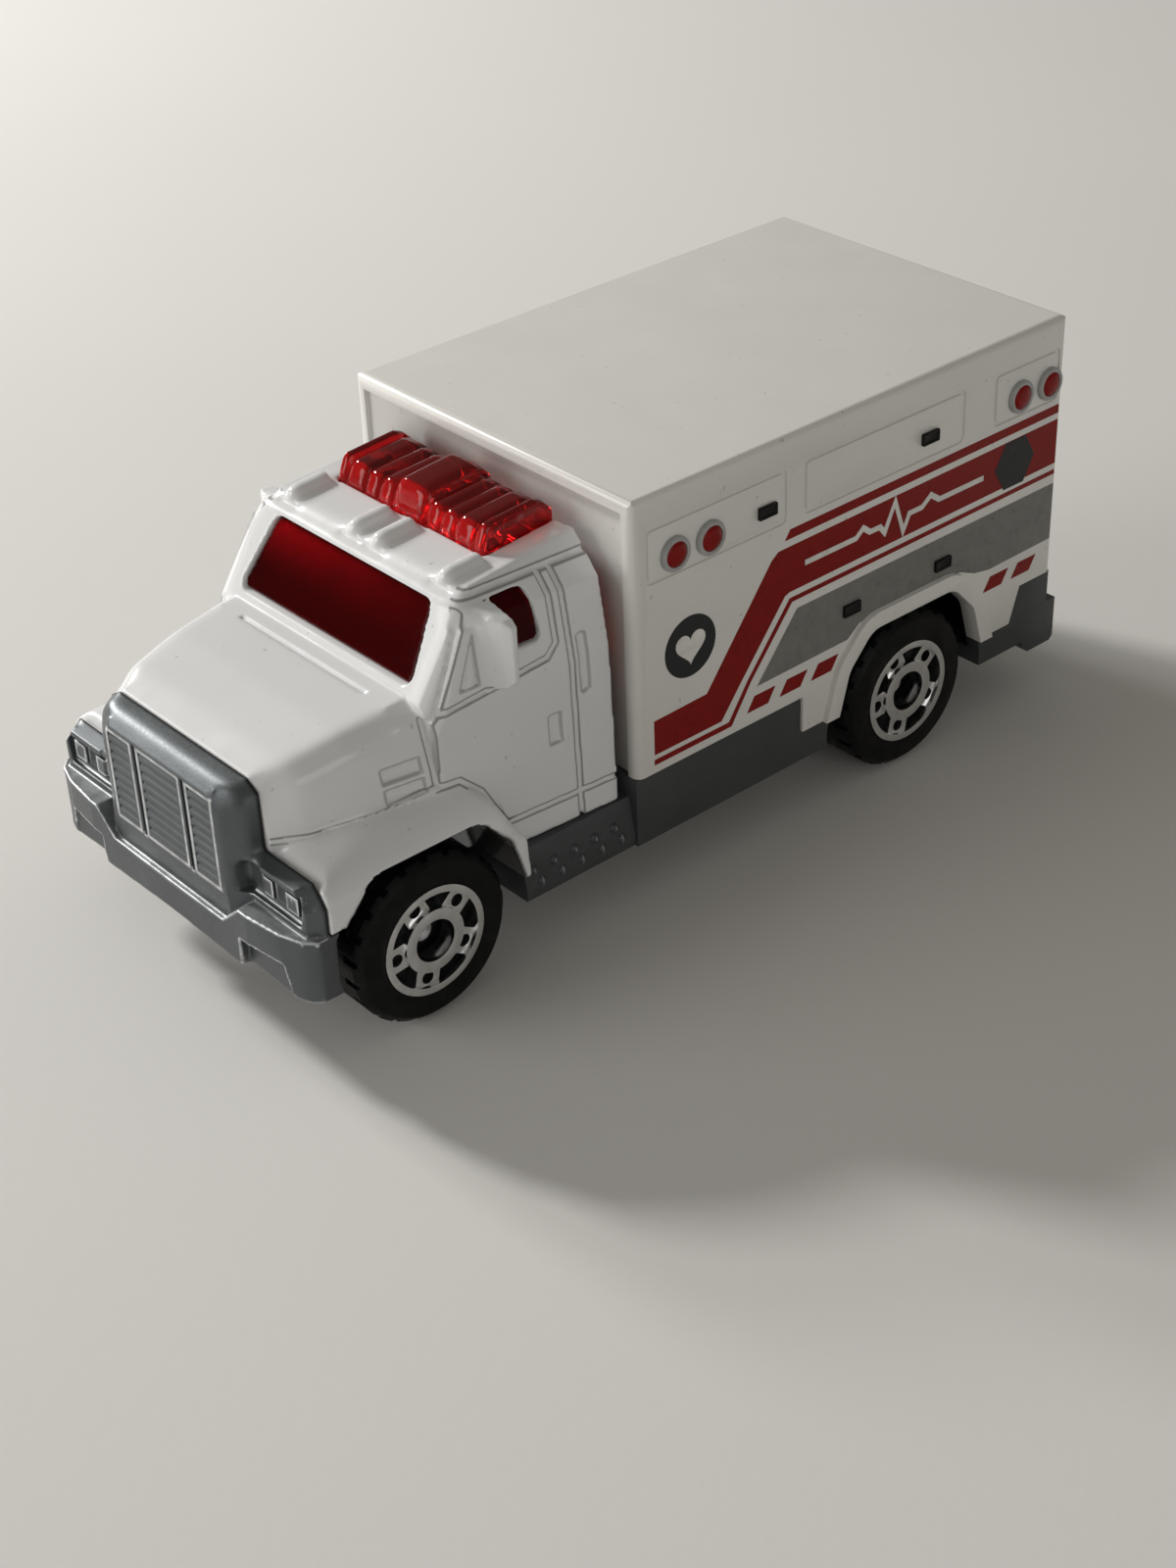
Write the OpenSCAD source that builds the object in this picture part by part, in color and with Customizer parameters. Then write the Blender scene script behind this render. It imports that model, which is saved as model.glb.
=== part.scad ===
// Toy ambulance: a die-cast cab and a moulded box body on a grey base, rolling on two loose axles.
// The front faces -Y, the vehicle's left side is +X, and the tyres stand on Z = 0.

/* [Lengths] */
// Depth of the grey front moulding, from the bumper's face to the bonnet
front_depth = 2.7; // [2.4:0.1:3.2]
// Length of the bonnet
bonnet_l = 10.8; // [10:0.2:12]
// Run of the sloping windscreen
screen_run = 4.0; // [3.4:0.2:4.8]
// Length of the cab roof
cab_roof_l = 10.1; // [9.6:0.1:11]
// Gap between the cab and the box
cab_gap = 0.8; // [0.5:0.1:1.2]
// Length of the box
box_l = 42.4; // [41:0.2:46]
// Depth of the rear bumper behind the box
rear_step = 1.0; // [0.6:0.1:1.6]
// Front axle behind the bumper's face
front_overhang = 10.6; // [10.4:0.1:10.8]
// Rear axle ahead of the box's rear face
rear_overhang = 15.8; // [15.4:0.2:16.4]

/* [Heights] */
// Underside of the base
base_bottom = 4.8; // [4.6:0.1:5.0]
// Lower edge of the cab
cab_bottom = 8.6; // [8.4:0.1:8.8]
// Lower edge of the box sides
box_bottom = 10.2; // [9.8:0.1:10.6]
// Lower edge of the box panels beside the rear wheels
arch_foot = 7.3; // [7.0:0.1:7.6]
// Waistline of the cab
belt_z = 20.4; // [20:0.1:20.8]
// Rise of the cab roof from the windscreen to its rear edge
roof_rise = 0.8; // [0.6:0.1:1.0]
// Rear edge of the cab roof
cab_roof_z = 28.0; // [27.8:0.1:28.4]
// Roof of the box
box_roof_z = 31.0; // [30:0.2:33]

/* [Widths] */
// Width of the box
box_w = 29.0; // [28.6:0.2:29.6]
// How far the cab's sill stands in from the box on each side
sill_in = 1.15; // [1.0:0.05:1.3]
// How far the cab's waistline stands in from the box on each side
belt_in = 1.55; // [1.4:0.05:1.7]
// How far the front mudguards stand out past the box on each side
mudguard_out = 0.3; // [0.1:0.1:0.5]
// How far the front bumper stands out past the box on each side
bumper_out = 0.2; // [0:0.1:0.4]

/* [Walls] */
// Wall of the cab casting
cab_wall = 0.9; // [0.7:0.1:1.0]
// Wall of the box moulding
box_wall = 1.0; // [0.8:0.1:1.2]
// Wall of the red window moulding
glass_t = 0.8; // [0.6:0.1:0.9]
// Floor of the base
floor_t = 1.2; // [1.1:0.1:1.4]

/* [Wheels] */
// Diameter over the tread
tyre_d = 12.3; // [12:0.1:12.4]
// Width of a wheel
wheel_w = 4.6; // [4.4:0.1:4.7]
// How far the wheels stand out past the box on each side
wheel_out = 0.1; // [0:0.05:0.2]
// Diameter of the bright wheel insert
rim_d = 8.0; // [7.6:0.1:8.2]
// Thickness of the bright wheel insert
rim_t = 1.3; // [1.1:0.1:1.5]
// Number of pierced spokes in the insert
spokes = 5; // [4:1:6]
// Number of tread bars round the tyre
tread_bars = 22; // [18:1:26]
// Diameter of an axle
axle_d = 1.3; // [1.2:0.05:1.4]

/* [Light bar] */
// How far the light bar stands in from the cab roof's edge on each side
bar_in = 2.0; // [1.8:0.1:2.4]
// Depth of the light bar
bar_l = 6.0; // [5.6:0.1:6.2]
// Height of the light bar above the front of the cab roof
bar_h = 2.3; // [2.1:0.1:2.6]

/* [Grille] */
// Number of louvres in each grille panel
louvres = 9; // [7:1:11]
// Height of the grille panels
grille_h = 7.0; // [6.6:0.1:7.2]

/* [Hidden] */

// Fits and cutting values
overrun = 1;        // reach of a cut past the face that it opens
fit = 0.05;         // gap between fixed pieces that meet
press_gap = 0.02;   // radial gap of a pressed insert or rivet
running_fit = 0.05; // radial gap of an axle in its bore
skin = 0.02;        // thickness of a section that is lofted
groove_w = 0.32;    // panel lines
groove_d = 0.22;
round_fn = 48;
soft_fn = 24;

// Places along the vehicle, from the bumper's face backwards
overall_l = front_depth + bonnet_l + screen_run + cab_roof_l + cab_gap + box_l + rear_step;
front_y = -overall_l / 2;
bonnet_y = front_y + front_depth;
cowl_y = bonnet_y + bonnet_l;
brow_y = cowl_y + screen_run;
cab_rear_y = brow_y + cab_roof_l;
box_y = cab_rear_y + cab_gap;
box_rear_y = box_y + box_l;
rear_y = box_rear_y + rear_step;
front_axle_y = front_y + front_overhang;
rear_axle_y = box_rear_y - rear_overhang;
axle_z = tyre_d / 2;
floor_z = base_bottom + floor_t;

// Widths that follow the box
sill_w = box_w - sill_in * 2;
belt_w = box_w - belt_in * 2;
mudguard_w = box_w + mudguard_out * 2;
bumper_w = box_w + bumper_out * 2;
track_w = box_w + wheel_out * 2;
wide = mudguard_w + box_w;

// Wheel housings: the arch goes round the tyre as a rounded trapezium
arch_gap = 0.85;
arch_top = tyre_d + arch_gap;
arch_foot_w = 15.8;
arch_mid_w = 13.2;
arch_top_w = 8.6;
arch_mid_z = arch_top - tyre_d / 5;
arch_round = 1.8;
house_gap = 0.6;
house_x = track_w / 2 - wheel_w - house_gap;
base_half_w = house_x - house_gap / 2;

// Cab form: widths and heights of its cross-section, sill to roof
temple_share = 0.934;
gutter_share = 0.834;
crown_share = 0.757;
temple_w = belt_w * temple_share;
gutter_w = belt_w * gutter_share;
crown_w = belt_w * crown_share;
temple_drop = 2.6;
gutter_drop = 1.4;
temple_z = cab_roof_z - temple_drop;
gutter_z = cab_roof_z - gutter_drop;
brow_z = cab_roof_z - roof_rise;
cab_section_ws = [sill_w, belt_w, temple_w, gutter_w, crown_w];
cab_section_zs = [cab_bottom, belt_z, temple_z, gutter_z, cab_roof_z];
cab_taper_share = 0.93;
cowl_rise = 0.5;
cowl_z = belt_z + cowl_rise;
brow_round = 0.7;
screen_flat_share = 0.772;
screen_flat_w = belt_w * screen_flat_share;
screen_corner_r = 2.4;
screen_angle = atan2(screen_run, brow_z - cowl_z);
roof_angle = atan2(cab_roof_z - brow_z, cab_roof_l);

// Windscreen and side windows
screen_top_share = 0.649;
screen_foot_share = 0.73;
screen_top_w = belt_w * screen_top_share;
screen_foot_w = belt_w * screen_foot_share;
screen_head_share = 0.841;
screen_sill_share = 0.079;
screen_top_z = cowl_z + (brow_z - cowl_z) * screen_head_share;
screen_foot_z = cowl_z + (brow_z - cowl_z) * screen_sill_share;
screen_round = 0.7;
window_rear = 5.0;
window_l = 4.2;
window_sill_share = 0.371;
window_head_share = 0.96;
window_foot_z = belt_z + (gutter_z - belt_z) * window_sill_share;
window_top_z = belt_z + (gutter_z - belt_z) * window_head_share;
window_rake = 0.5;
window_round = 0.5;
frame_margin = 0.75;

// Doors: panel lines measured from the cab's rear edge
door_rear = 3.05;
door_l = 11.0;
knee_in = 0.5;
pillar_drop = 0.5;
pillar_in = 0.4;
sill_line = 2.0;
gutter_line = 0.25;
bead_gap = 1.0;
bead_rise = 0.95;
bead_round = 0.8;
quarter_share = 0.4;
slot_l = 4.4;
slot_w = 0.8;
slot_drop = 2.6;
slot_foot_z = belt_z - slot_drop;
slot_inset = 2.05;
handle_w = 1.1;
handle_h = 2.3;
handle_drop = 5.5;
handle_foot_z = belt_z - handle_drop;
handle_gap = 1.1;
handle_depth = 0.35;

// Bonnet form: cross-sections front to rear, with widths as shares of the waistline's
bonnet_floor_z = 10.7;
bonnet_lap = 1.6;
bonnet_y_shares = [0, 0.16, 0.46, 1];
bonnet_crease_shares = [0.672, 0.78, 0.873, 0.95];
bonnet_shoulder_shares = [0.633, 0.741, 0.795, 0.842];
bonnet_top_shares = [0.556, 0.641, 0.695, 0.726];
bonnet_crease_drops = [0.3, 0.3, 0.4, 0];
bonnet_shoulder_drops = [2.2, 1.7, 1.0, 0.1];
bonnet_top_drops = [1.55, 0.8, 0, -0.7];
bonnet_nose_z = belt_z - bonnet_top_drops[0];
cowl_line_gap = 1.1;
cowl_line_share = 0.54;
cowl_line_w = belt_w * cowl_line_share;
vent_l = 2.8;
vent_h = 1.05;
vent_pitch = 1.4;
vents = 2;
vent_drop = 0.2;
vent_gap = 0.7;

// Front mudguards: outline round the wheel as shares of its reach and height, front to rear
guard_reach = 8.1;
guard_foot = 7.4;
guard_rise = 2.35;
guard_top = arch_top + guard_rise;
guard_y_shares = [-1.1, -0.86, -0.5, 0.36, 0.57, 0.76, 0.97, 1.0, 0.88];
guard_z_shares = [0.76, 0.85, 0.92, 1.0, 0.97, 0.79, 0.4, 0, 0];
guard_crown = 3; // first of the outline's points that lie along the door
guard_ankle = 6; // and the last
guard_x_shares = [0.45, 1.0, 1.0, 0.985, 0.96, 0.92, 0.86, 0.78, 0.45];
guard_section_shares = [-0.1, -0.1, 0.58, 0.7, 0.78, 0.85, 0.905, 0.95, 1.05];

// Mirrors, cast with the doors
mirror_in = 0.9;
mirror_span = box_w - mirror_in * 2;
mirror_foot_share = 0.919;
mirror_head_share = 0.84;
mirror_foot_w = belt_w * mirror_foot_share;
mirror_head_w = belt_w * mirror_head_share;
mirror_set = 1.0;
mirror_y = brow_y + mirror_set;
mirror_l = 2.1;
mirror_sweep = 0.8;
mirror_sill_share = 0.08;
mirror_peak_share = 0.95;
mirror_foot_z = belt_z + (gutter_z - belt_z) * mirror_sill_share;
mirror_top_z = belt_z + (gutter_z - belt_z) * mirror_peak_share;
mirror_round = 0.5;

// Marker lights on the cab roof
marker_r = 0.75;
marker_l = 2.6;
marker_shares = [-0.317, -0.05, 0.05, 0.317];
marker_inset = 1.0;

// Fastening posts and rivets
post_r = 1.8;
rivet_r = 0.8;
rivet_head_r = 1.5;
rivet_head_t = 0.6;
rivet_grip = 4.0;
tongue_t = 1.0;
front_rivet_set = 4.2;
middle_rivet_set = 9.5;
rear_rivet_set = 9.4;
front_rivet_y = front_axle_y - front_rivet_set;
middle_rivet_y = box_y + middle_rivet_set;
rear_rivet_y = rear_axle_y + rear_rivet_set;
tongue_top = floor_z + fit + tongue_t;

// Front moulding, with widths as shares of the bumper's
bumper_depth = 3.3;
bumper_foot = 6.3;
bumper_top = 10.6;
bumper_dip = 1.75;
bumper_dip_share = 0.429;
bumper_ramp_share = 0.565;
bumper_plan_shares = [[0, 0], [0.62, 0.01], [0.83, 0.12], [0.95, 0.29], [1, 0.5], [1, 1]];
grille_setback = 0.45;
grille_foot_z = 10.65;
grille_gap = 0.6;
grille_rim = 0.3;
grille_relief = 0.3;
grille_mid_share = 0.17;
grille_side_share = 0.102;
grille_mid_w = bumper_w * grille_mid_share;
grille_side_w = bumper_w * grille_side_share;
louvre_shares = [0.2, 0.55, 0.8];
grille_width_shares = [0.452, 0.551, 0.571];
grille_top_drops = [1.05, 0.25, 0];
grille_shoulder_drops = [2.05, 1.25, 0.65];
grille_block_shares = [0, 0.45, 1];
grille_block_foot = 8.6;
grille_corner = 1.1;
wing_setback = 1.45;
wing_in_share = 0.34;
wing_foot = 9.4;
wing_front_shares = [0.939, 0.946, 0.878];
wing_rear_shares = [0.997, 0.997, 0.918];
wing_front_zs = [12.4, 12.5, 13.7];
wing_rear_zs = [12.4, 12.6, 14.1];
lamp_in_share = 0.49;
lamp_out_share = 0.908;
lamp_in_x = bumper_w / 2 * lamp_in_share;
lamp_out_x = bumper_w / 2 * lamp_out_share;
lamp_foot_z = 11.1;
lamp_top_z = 13.35;
lamp_depth = 0.55;
lamp_w = 1.35;
lamp_gap = 0.35;
lamp_bar_h = 0.35;
lamp_relief = 0.4;
fog_in_share = 0.551;
fog_out_share = 0.837;
fog_in_x = bumper_w / 2 * fog_in_share;
fog_out_x = bumper_w / 2 * fog_out_share;
fog_top_z = 8.3;
fog_rake = 0.8;
fog_depth = 0.7;
bumper_droop = 0.5;

// Box details
box_corner_r = 0.6;
front_border = 1.0;
front_recess = 0.4;
arch_lip_w = 1.25;
arch_lip_t = 0.45;
panel_front = 10.9;
panel_rear = 12.2;
panel_slope = 1.0;
beacon_r = 1.22;
beacon_t = 0.35;
beacon_lens_r = 0.86;
beacon_lens_t = 0.55;
beacon_pitch = 3.15;
beacon_drop = 4.8;
beacon_front = 3.65;
beacon_rear = 1.8;
latch_l = 1.65;
latch_h = 0.9;
latch_t = 0.25;
latch_drop = 4.75;
latch_rise = 5.35;
latch_upper_shares = [0.283, 0.658];
latch_lower_shares = [0.48, 0.703];
locker_d = 0.14;
locker_w = 0.28;
locker_drop = 6.4;
locker_h = 4.1;
locker_shares = [0.026, 0.328, 0.366, 0.745, 0.818, 0.984];
door_window_share = 0.283;
door_window_w = box_w * door_window_share;
door_window_h = 4.6;
door_window_drop = 9.4;
door_margin = 2.2;
rear_handle_w = 0.7;
rear_handle_h = 2.6;
rear_handle_rise = 6.3;

// Base details
skirt_t = 1.2;
skirt_inset = 0.2;
step_foot_in = 0.5;
step_edge_in = 0.4;
step_top_in = 1.05;
step_foot_w = box_w - step_foot_in * 2;
step_edge_w = box_w - step_edge_in * 2;
step_top_w = box_w - step_top_in * 2;
step_edge_h = 0.7;
step_front_y = front_axle_y + guard_reach + fit;
studs = 5;
stud_r = 0.42;
stud_set = 0.8;
stud_stagger_shares = [0, 0.3];
stud_height_shares = [0.46, 0.13];
axle_house_l = 3.2;
axle_house_top = 1.7;
bumper_rear_l = 3.6;
bumper_rear_foot = 3.7;
bumper_rear_top = 7.4;
bumper_rear_chamfer = 0.7;
post_cup_r = 2.6;
post_cup_h = 1.2;

// Light bar: blocks across its width as shares, and their heights
bar_block_shares = [0.193, 0.1, 0.1, 0.214, 0.1, 0.1, 0.193];
bar_height_shares = [1.0, 0.88, 0.88, 1.22, 0.88, 0.88, 1.0];
bar_w = crown_w - bar_in * 2;
bar_valley_share = 0.76;
bar_joint = 0.22;
bar_y_shares = [0, 0, 0.1, 0.8, 0.94, 1, 1];
bar_z_shares = [0, 0.3, 0.93, 1.06, 0.9, 0.55, 0];
glass_lap = 0.6;

// Cab interior
tub_share = 0.602;
tub_w = belt_w * tub_share;
tub_t = 0.8;
seat_share = 0.772;
seat_w = belt_w * seat_share;
seat_l = 4.4;
seat_drop = 5.2;
seat_z = belt_z - seat_drop;
back_t = 1.3;
back_rise = 0.2;
back_top = belt_z + back_rise;
back_gap = 1.2;
dash_share = 0.734;
dash_w = belt_w * dash_share;
dash_gap = 0.2;
dash_l = 2.2;
dash_foot_drop = 4.8;
dash_top_drop = 1.1;
dash_foot = belt_z - dash_foot_drop;
dash_top = belt_z - dash_top_drop;
steering_r = 1.9;
steering_tube_r = 0.28;
steering_share = 0.193;
steering_x = belt_w * steering_share;
steering_angle = 55;
column_l = 1.7;

// Wheels
hub_r = 2.35;
hub_hole_r = 1.55;
rim_ring = 0.5;
spoke_w = 1.9;
spoke_hole_r = 0.46;
spoke_phase = -12;
spoke_set = 0.35;
shoulder = 0.5;
tread_d = 0.22;
tread_w = 0.55;
tread_stagger_share = 0.5;
axle_head_r = 0.72;
axle_head_t = 0.4;
hub_play = 0.12;
hub_well = 0.6;
hub_face_x = track_w / 2 - rim_t - press_gap;
bore_face_x = hub_face_x - hub_well;
hub_boss_r = 1.6;
hub_side_gap = 0.15;
tyre_inset = 0.15;

// Half of an outline that is the same on both sides of the middle
function both_sides(half) =
    concat(half, [for (i = [len(half) - 1 : -1 : 0]) [-half[i][0], half[i][1]]]);

// Outlines drawn in the side view reach across the vehicle, and those in the front view along it
module along_x(x0, x1) {
    translate([x0, 0, 0])
        rotate([90, 0, 90])
            linear_extrude(height = x1 - x0)
                children();
}

module across() {
    along_x(-wide / 2, wide / 2)
        children();
}

module along_y(y0, y1) {
    translate([0, y1, 0])
        rotate([90, 0, 0])
            linear_extrude(height = y1 - y0)
                children();
}

module both_hands() {
    children();
    mirror([1, 0, 0])
        children();
}

module rounded(r) {
    offset(r = r, $fn = soft_fn)
        offset(delta = -r)
            children();
}

module strip(a, b, w) {
    translate(a)
        rotate(atan2(b[1] - a[1], b[0] - a[0]))
            translate([-w / 2, -w / 2])
                square([norm(b - a) + w, w]);
}

module line_along(points, w) {
    for (i = [0 : len(points) - 2])
        strip(points[i], points[i + 1], w);
}

// Shape of a wheel arch in the side view
module arch_shape(axle_y, grow) {
    offset(delta = grow)
        rounded(arch_round)
            polygon([
                [axle_y - arch_foot_w / 2, -tyre_d],
                [axle_y - arch_foot_w / 2, axle_z],
                [axle_y - arch_mid_w / 2, arch_mid_z],
                [axle_y - arch_top_w / 2, arch_top],
                [axle_y + arch_top_w / 2, arch_top],
                [axle_y + arch_mid_w / 2, arch_mid_z],
                [axle_y + arch_foot_w / 2, axle_z],
                [axle_y + arch_foot_w / 2, -tyre_d]
            ]);
}

module wheel_house(axle_y, grow) {
    both_hands()
        along_x(house_x - grow, wide / 2)
            arch_shape(axle_y, grow);
}

// Cab
module cab_section(share) {
    polygon(both_sides([
        for (i = [0 : len(cab_section_ws) - 1])
            [share * cab_section_ws[i] / 2, cab_section_zs[i]]
    ]));
}

module cab_outline() {
    polygon([
        [cab_rear_y, cab_bottom],
        [cab_rear_y, cab_roof_z],
        [brow_y + brow_round, brow_z],
        [brow_y - brow_round * sin(screen_angle), brow_z - brow_round * cos(screen_angle)],
        [cowl_y, cowl_z],
        [cowl_y, cab_bottom]
    ]);
}

module screen_plan() {
    corner = [
        for (a = [-90 : 15 : 0])
            [screen_flat_w / 2 + screen_corner_r * cos(a), screen_corner_r * (1 + sin(a))]
    ];
    polygon(both_sides(concat(corner, [[wide / 2, wide / 4], [wide / 2, wide]])));
}

module cab_form(inset) {
    intersection() {
        hull() {
            along_y(cowl_y, cowl_y + skin)
                offset(delta = -inset)
                    cab_section(cab_taper_share);
            along_y(cab_rear_y - skin, cab_rear_y)
                offset(delta = -inset)
                    cab_section(1);
        }
        across()
            offset(delta = -inset)
                cab_outline();
        translate([0, cowl_y, cowl_z])
            rotate([-screen_angle, 0, 0])
                linear_extrude(height = wide, center = true)
                    offset(delta = -inset)
                        screen_plan();
    }
}

module bonnet_section(i) {
    half_w = belt_w / 2;
    polygon(both_sides([
        [half_w * bonnet_crease_shares[i], bonnet_floor_z],
        [half_w * bonnet_crease_shares[i], guard_top - bonnet_crease_drops[i]],
        [half_w * bonnet_shoulder_shares[i], belt_z - bonnet_shoulder_drops[i]],
        [half_w * bonnet_top_shares[i], belt_z - bonnet_top_drops[i]]
    ]));
}

module bonnet_form(inset) {
    start = bonnet_y + inset;
    reach = cowl_y + bonnet_lap - start;
    hull() {
        for (i = [0 : len(bonnet_y_shares) - 1])
            along_y(start + reach * bonnet_y_shares[i], start + reach * bonnet_y_shares[i] + skin)
                offset(delta = -inset)
                    bonnet_section(i);
    }
}

module mudguards(inset) {
    both_hands()
        intersection() {
            across()
                offset(delta = -inset)
                    polygon(concat(
                        [[front_y + bumper_depth + fit, bumper_top + fit], [bonnet_y, bumper_top + fit]],
                        [
                            for (i = [0 : len(guard_y_shares) - 1])
                                [
                                    max(front_axle_y + guard_reach * guard_y_shares[i], bonnet_y),
                                    guard_foot + (guard_top - guard_foot) * guard_z_shares[i]
                                ]
                        ]
                    ));
            along_y(bonnet_y, cab_rear_y)
                offset(delta = -inset)
                    polygon([
                        for (i = [0 : len(guard_x_shares) - 1])
                            [
                                mudguard_w / 2 * guard_x_shares[i],
                                guard_foot + (guard_top - guard_foot) * guard_section_shares[i]
                            ]
                    ]);
        }
}

module window_shape(grow) {
    y1 = cab_rear_y - window_rear;
    y0 = y1 - window_l;
    offset(delta = grow)
        rounded(window_round)
            polygon([
                [y0 - window_rake, window_foot_z],
                [y0 + window_rake, window_top_z],
                [y1 - window_rake, window_top_z],
                [y1, window_foot_z]
            ]);
}

module door_lines() {
    rear = cab_rear_y - door_rear;
    front = rear - door_l;
    knee = [front + knee_in, belt_z];
    top_front = [brow_y - pillar_in, gutter_z - pillar_drop];
    guard_line = [
        for (i = [guard_crown : guard_ankle])
            [
                front_axle_y + guard_reach * guard_y_shares[i],
                guard_foot + (guard_top - guard_foot) * guard_z_shares[i]
            ]
    ];
    line_along([[rear, cab_bottom - overrun], [rear, gutter_z]], groove_w);
    line_along([
        knee,
        [rear - bead_gap - bead_round, belt_z + bead_rise],
        [rear - bead_gap, belt_z + bead_rise + bead_round],
        [rear - bead_gap, gutter_z]
    ], groove_w);
    line_along([top_front, knee, [front, belt_z - knee_in], [front, guard_top]], groove_w);
    line_along(guard_line, groove_w);
    sill_start = guard_line[guard_ankle - guard_crown];
    line_along([sill_start, [cab_rear_y + overrun, cab_bottom + sill_line]], groove_w);
    line_along([
        [brow_y, gutter_z + gutter_line],
        [cab_rear_y + overrun, gutter_z + gutter_line]
    ], groove_w);
}

module door_details() {
    rear = cab_rear_y - door_rear;
    quarter_l = screen_run * quarter_share;
    quarter_h = temple_z - belt_z - frame_margin * 2;
    quarter = [[-quarter_l, 0], [0, 0], [0, quarter_h]];
    translate([cab_rear_y - slot_inset - slot_w / 2, slot_foot_z])
        rounded(slot_w / 3)
            square([slot_w, slot_l]);
    translate([brow_y, belt_z + bead_rise])
        difference() {
            polygon(quarter);
            offset(delta = -groove_w)
                polygon(quarter);
        }
    for (i = [0 : vents - 1])
        translate([cowl_y - vent_gap - vent_l, guard_top - vent_drop + vent_pitch * i])
            rounded(vent_h / 4)
                square([vent_l, vent_h]);
}

module handle_shape() {
    translate([cab_rear_y - door_rear - handle_gap - handle_w, handle_foot_z])
        rounded(handle_w / 3)
            square([handle_w, handle_h]);
}

// Surface relief: an outline cut square to the side and stopped at a set depth below the skin
module side_relief(depth) {
    difference() {
        across()
            children();
        cab_form(depth);
        bonnet_form(depth);
        mudguards(depth);
    }
}

module cowl_line() {
    difference() {
        translate([-cowl_line_w / 2, cowl_y - cowl_line_gap - groove_w, bonnet_floor_z])
            cube([cowl_line_w, groove_w, cowl_z]);
        bonnet_form(groove_d);
    }
}

module windscreen_opening() {
    along_y(cowl_y - overrun, brow_y + screen_run / 2)
        rounded(screen_round)
            polygon(both_sides([
                [screen_foot_w / 2, screen_foot_z],
                [screen_top_w / 2, screen_top_z]
            ]));
}

module roof_slot(gap) {
    translate([-bar_w / 2 - gap, cab_rear_y - bar_l - gap, cab_roof_z - bar_l])
        cube([bar_w + gap * 2, bar_l + gap * 2, bar_l * 2]);
}

module marker_lights() {
    for (share = marker_shares)
        translate([belt_w * share, brow_y + marker_inset, brow_z])
            rotate([roof_angle, 0, 0]) {
                rotate([-90, 0, 0])
                    cylinder(r = marker_r, h = marker_l, $fn = round_fn);
                sphere(r = marker_r, $fn = round_fn);
            }
}

module mirrors() {
    both_hands()
        intersection() {
            translate([0, 0, mirror_foot_z])
                linear_extrude(height = mirror_top_z - mirror_foot_z)
                    polygon([
                        [mirror_head_w / 2, mirror_y - mirror_l / 2],
                        [mirror_span / 2 - mirror_round, mirror_y - mirror_l / 2 + mirror_sweep],
                        [mirror_span / 2, mirror_y - mirror_l / 2 + mirror_sweep + mirror_round],
                        [mirror_span / 2, mirror_y + mirror_l / 2],
                        [mirror_head_w / 2, mirror_y + mirror_l / 2]
                    ]);
            along_y(mirror_y - mirror_l, mirror_y + mirror_l)
                polygon([
                    [mirror_foot_w / 2, mirror_foot_z],
                    [mirror_span / 2 - mirror_round, mirror_foot_z],
                    [mirror_span / 2, mirror_foot_z + mirror_round],
                    [mirror_span / 2, mirror_top_z - mirror_round * 2],
                    [mirror_span / 2 - mirror_round, mirror_top_z - mirror_round],
                    [mirror_head_w / 2, mirror_top_z]
                ]);
        }
}

module cab_cavity() {
    tray_w = sill_w - cab_wall * 4;
    difference() {
        union() {
            cab_form(cab_wall);
            bonnet_form(cab_wall);
            translate([-house_x + cab_wall, bonnet_y + cab_wall, 0])
                cube([(house_x - cab_wall) * 2, cab_rear_y - bonnet_y, bonnet_floor_z + cab_wall + overrun]);
            translate([-tray_w / 2, front_axle_y, 0])
                cube([tray_w, cab_rear_y - front_axle_y + overrun, cab_bottom + cab_wall + overrun]);
            along_y(cab_rear_y - cab_wall - overrun, cab_rear_y + overrun)
                intersection() {
                    offset(delta = -cab_wall)
                        cab_section(1);
                    translate([-wide / 2, 0])
                        square([wide, cab_roof_z - cab_wall]);
                }
        }
        wheel_house(front_axle_y, cab_wall);
    }
}

module cab_casting() {
    color("white") {
        difference() {
            union() {
                cab_form(0);
                bonnet_form(0);
                mudguards(0);
                marker_lights();
            }
            cab_cavity();
            wheel_house(front_axle_y, 0);
            windscreen_opening();
            across()
                window_shape(0);
            roof_slot(fit);
            side_relief(groove_d)
                union() {
                    door_lines();
                    door_details();
                    handle_shape();
                }
            cowl_line();
        }
        mirrors();
        difference() {
            translate([0, front_rivet_y, tongue_top + fit])
                cylinder(r = post_r, h = bonnet_nose_z - cab_wall / 2 - tongue_top, $fn = round_fn);
            rivet_hole(front_rivet_y, tongue_top + rivet_grip);
        }
    }
}

// Box
module box_form(inset) {
    half_w = box_w / 2 - inset;
    r = max(box_corner_r - inset, fit);
    intersection() {
        along_y(box_y + inset, box_rear_y - inset)
            rounded(r)
                translate([-half_w, 0])
                    square([half_w * 2, box_roof_z - inset]);
        across()
            rounded(r)
                translate([box_y + inset, 0])
                    square([box_l - inset * 2, box_roof_z - inset]);
        translate([0, 0, box_bottom - inset])
            linear_extrude(height = box_roof_z)
                rounded(r)
                    translate([-half_w, box_y + inset])
                        square([half_w * 2, box_l - inset * 2]);
    }
}

module arch_panel() {
    along_x(box_w / 2 - box_wall, box_w / 2)
        polygon([
            [rear_axle_y - panel_front, box_bottom + box_wall],
            [rear_axle_y - panel_front, arch_foot],
            [rear_axle_y + panel_rear - panel_slope, arch_foot],
            [rear_axle_y + panel_rear, box_bottom],
            [rear_axle_y + panel_rear, box_bottom + box_wall]
        ]);
    along_x(box_w / 2 - box_wall, box_w / 2 + arch_lip_t)
        intersection() {
            arch_shape(rear_axle_y, arch_lip_w);
            translate([rear_axle_y - arch_foot_w, arch_foot])
                square([arch_foot_w * 2, arch_top]);
        }
}

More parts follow.
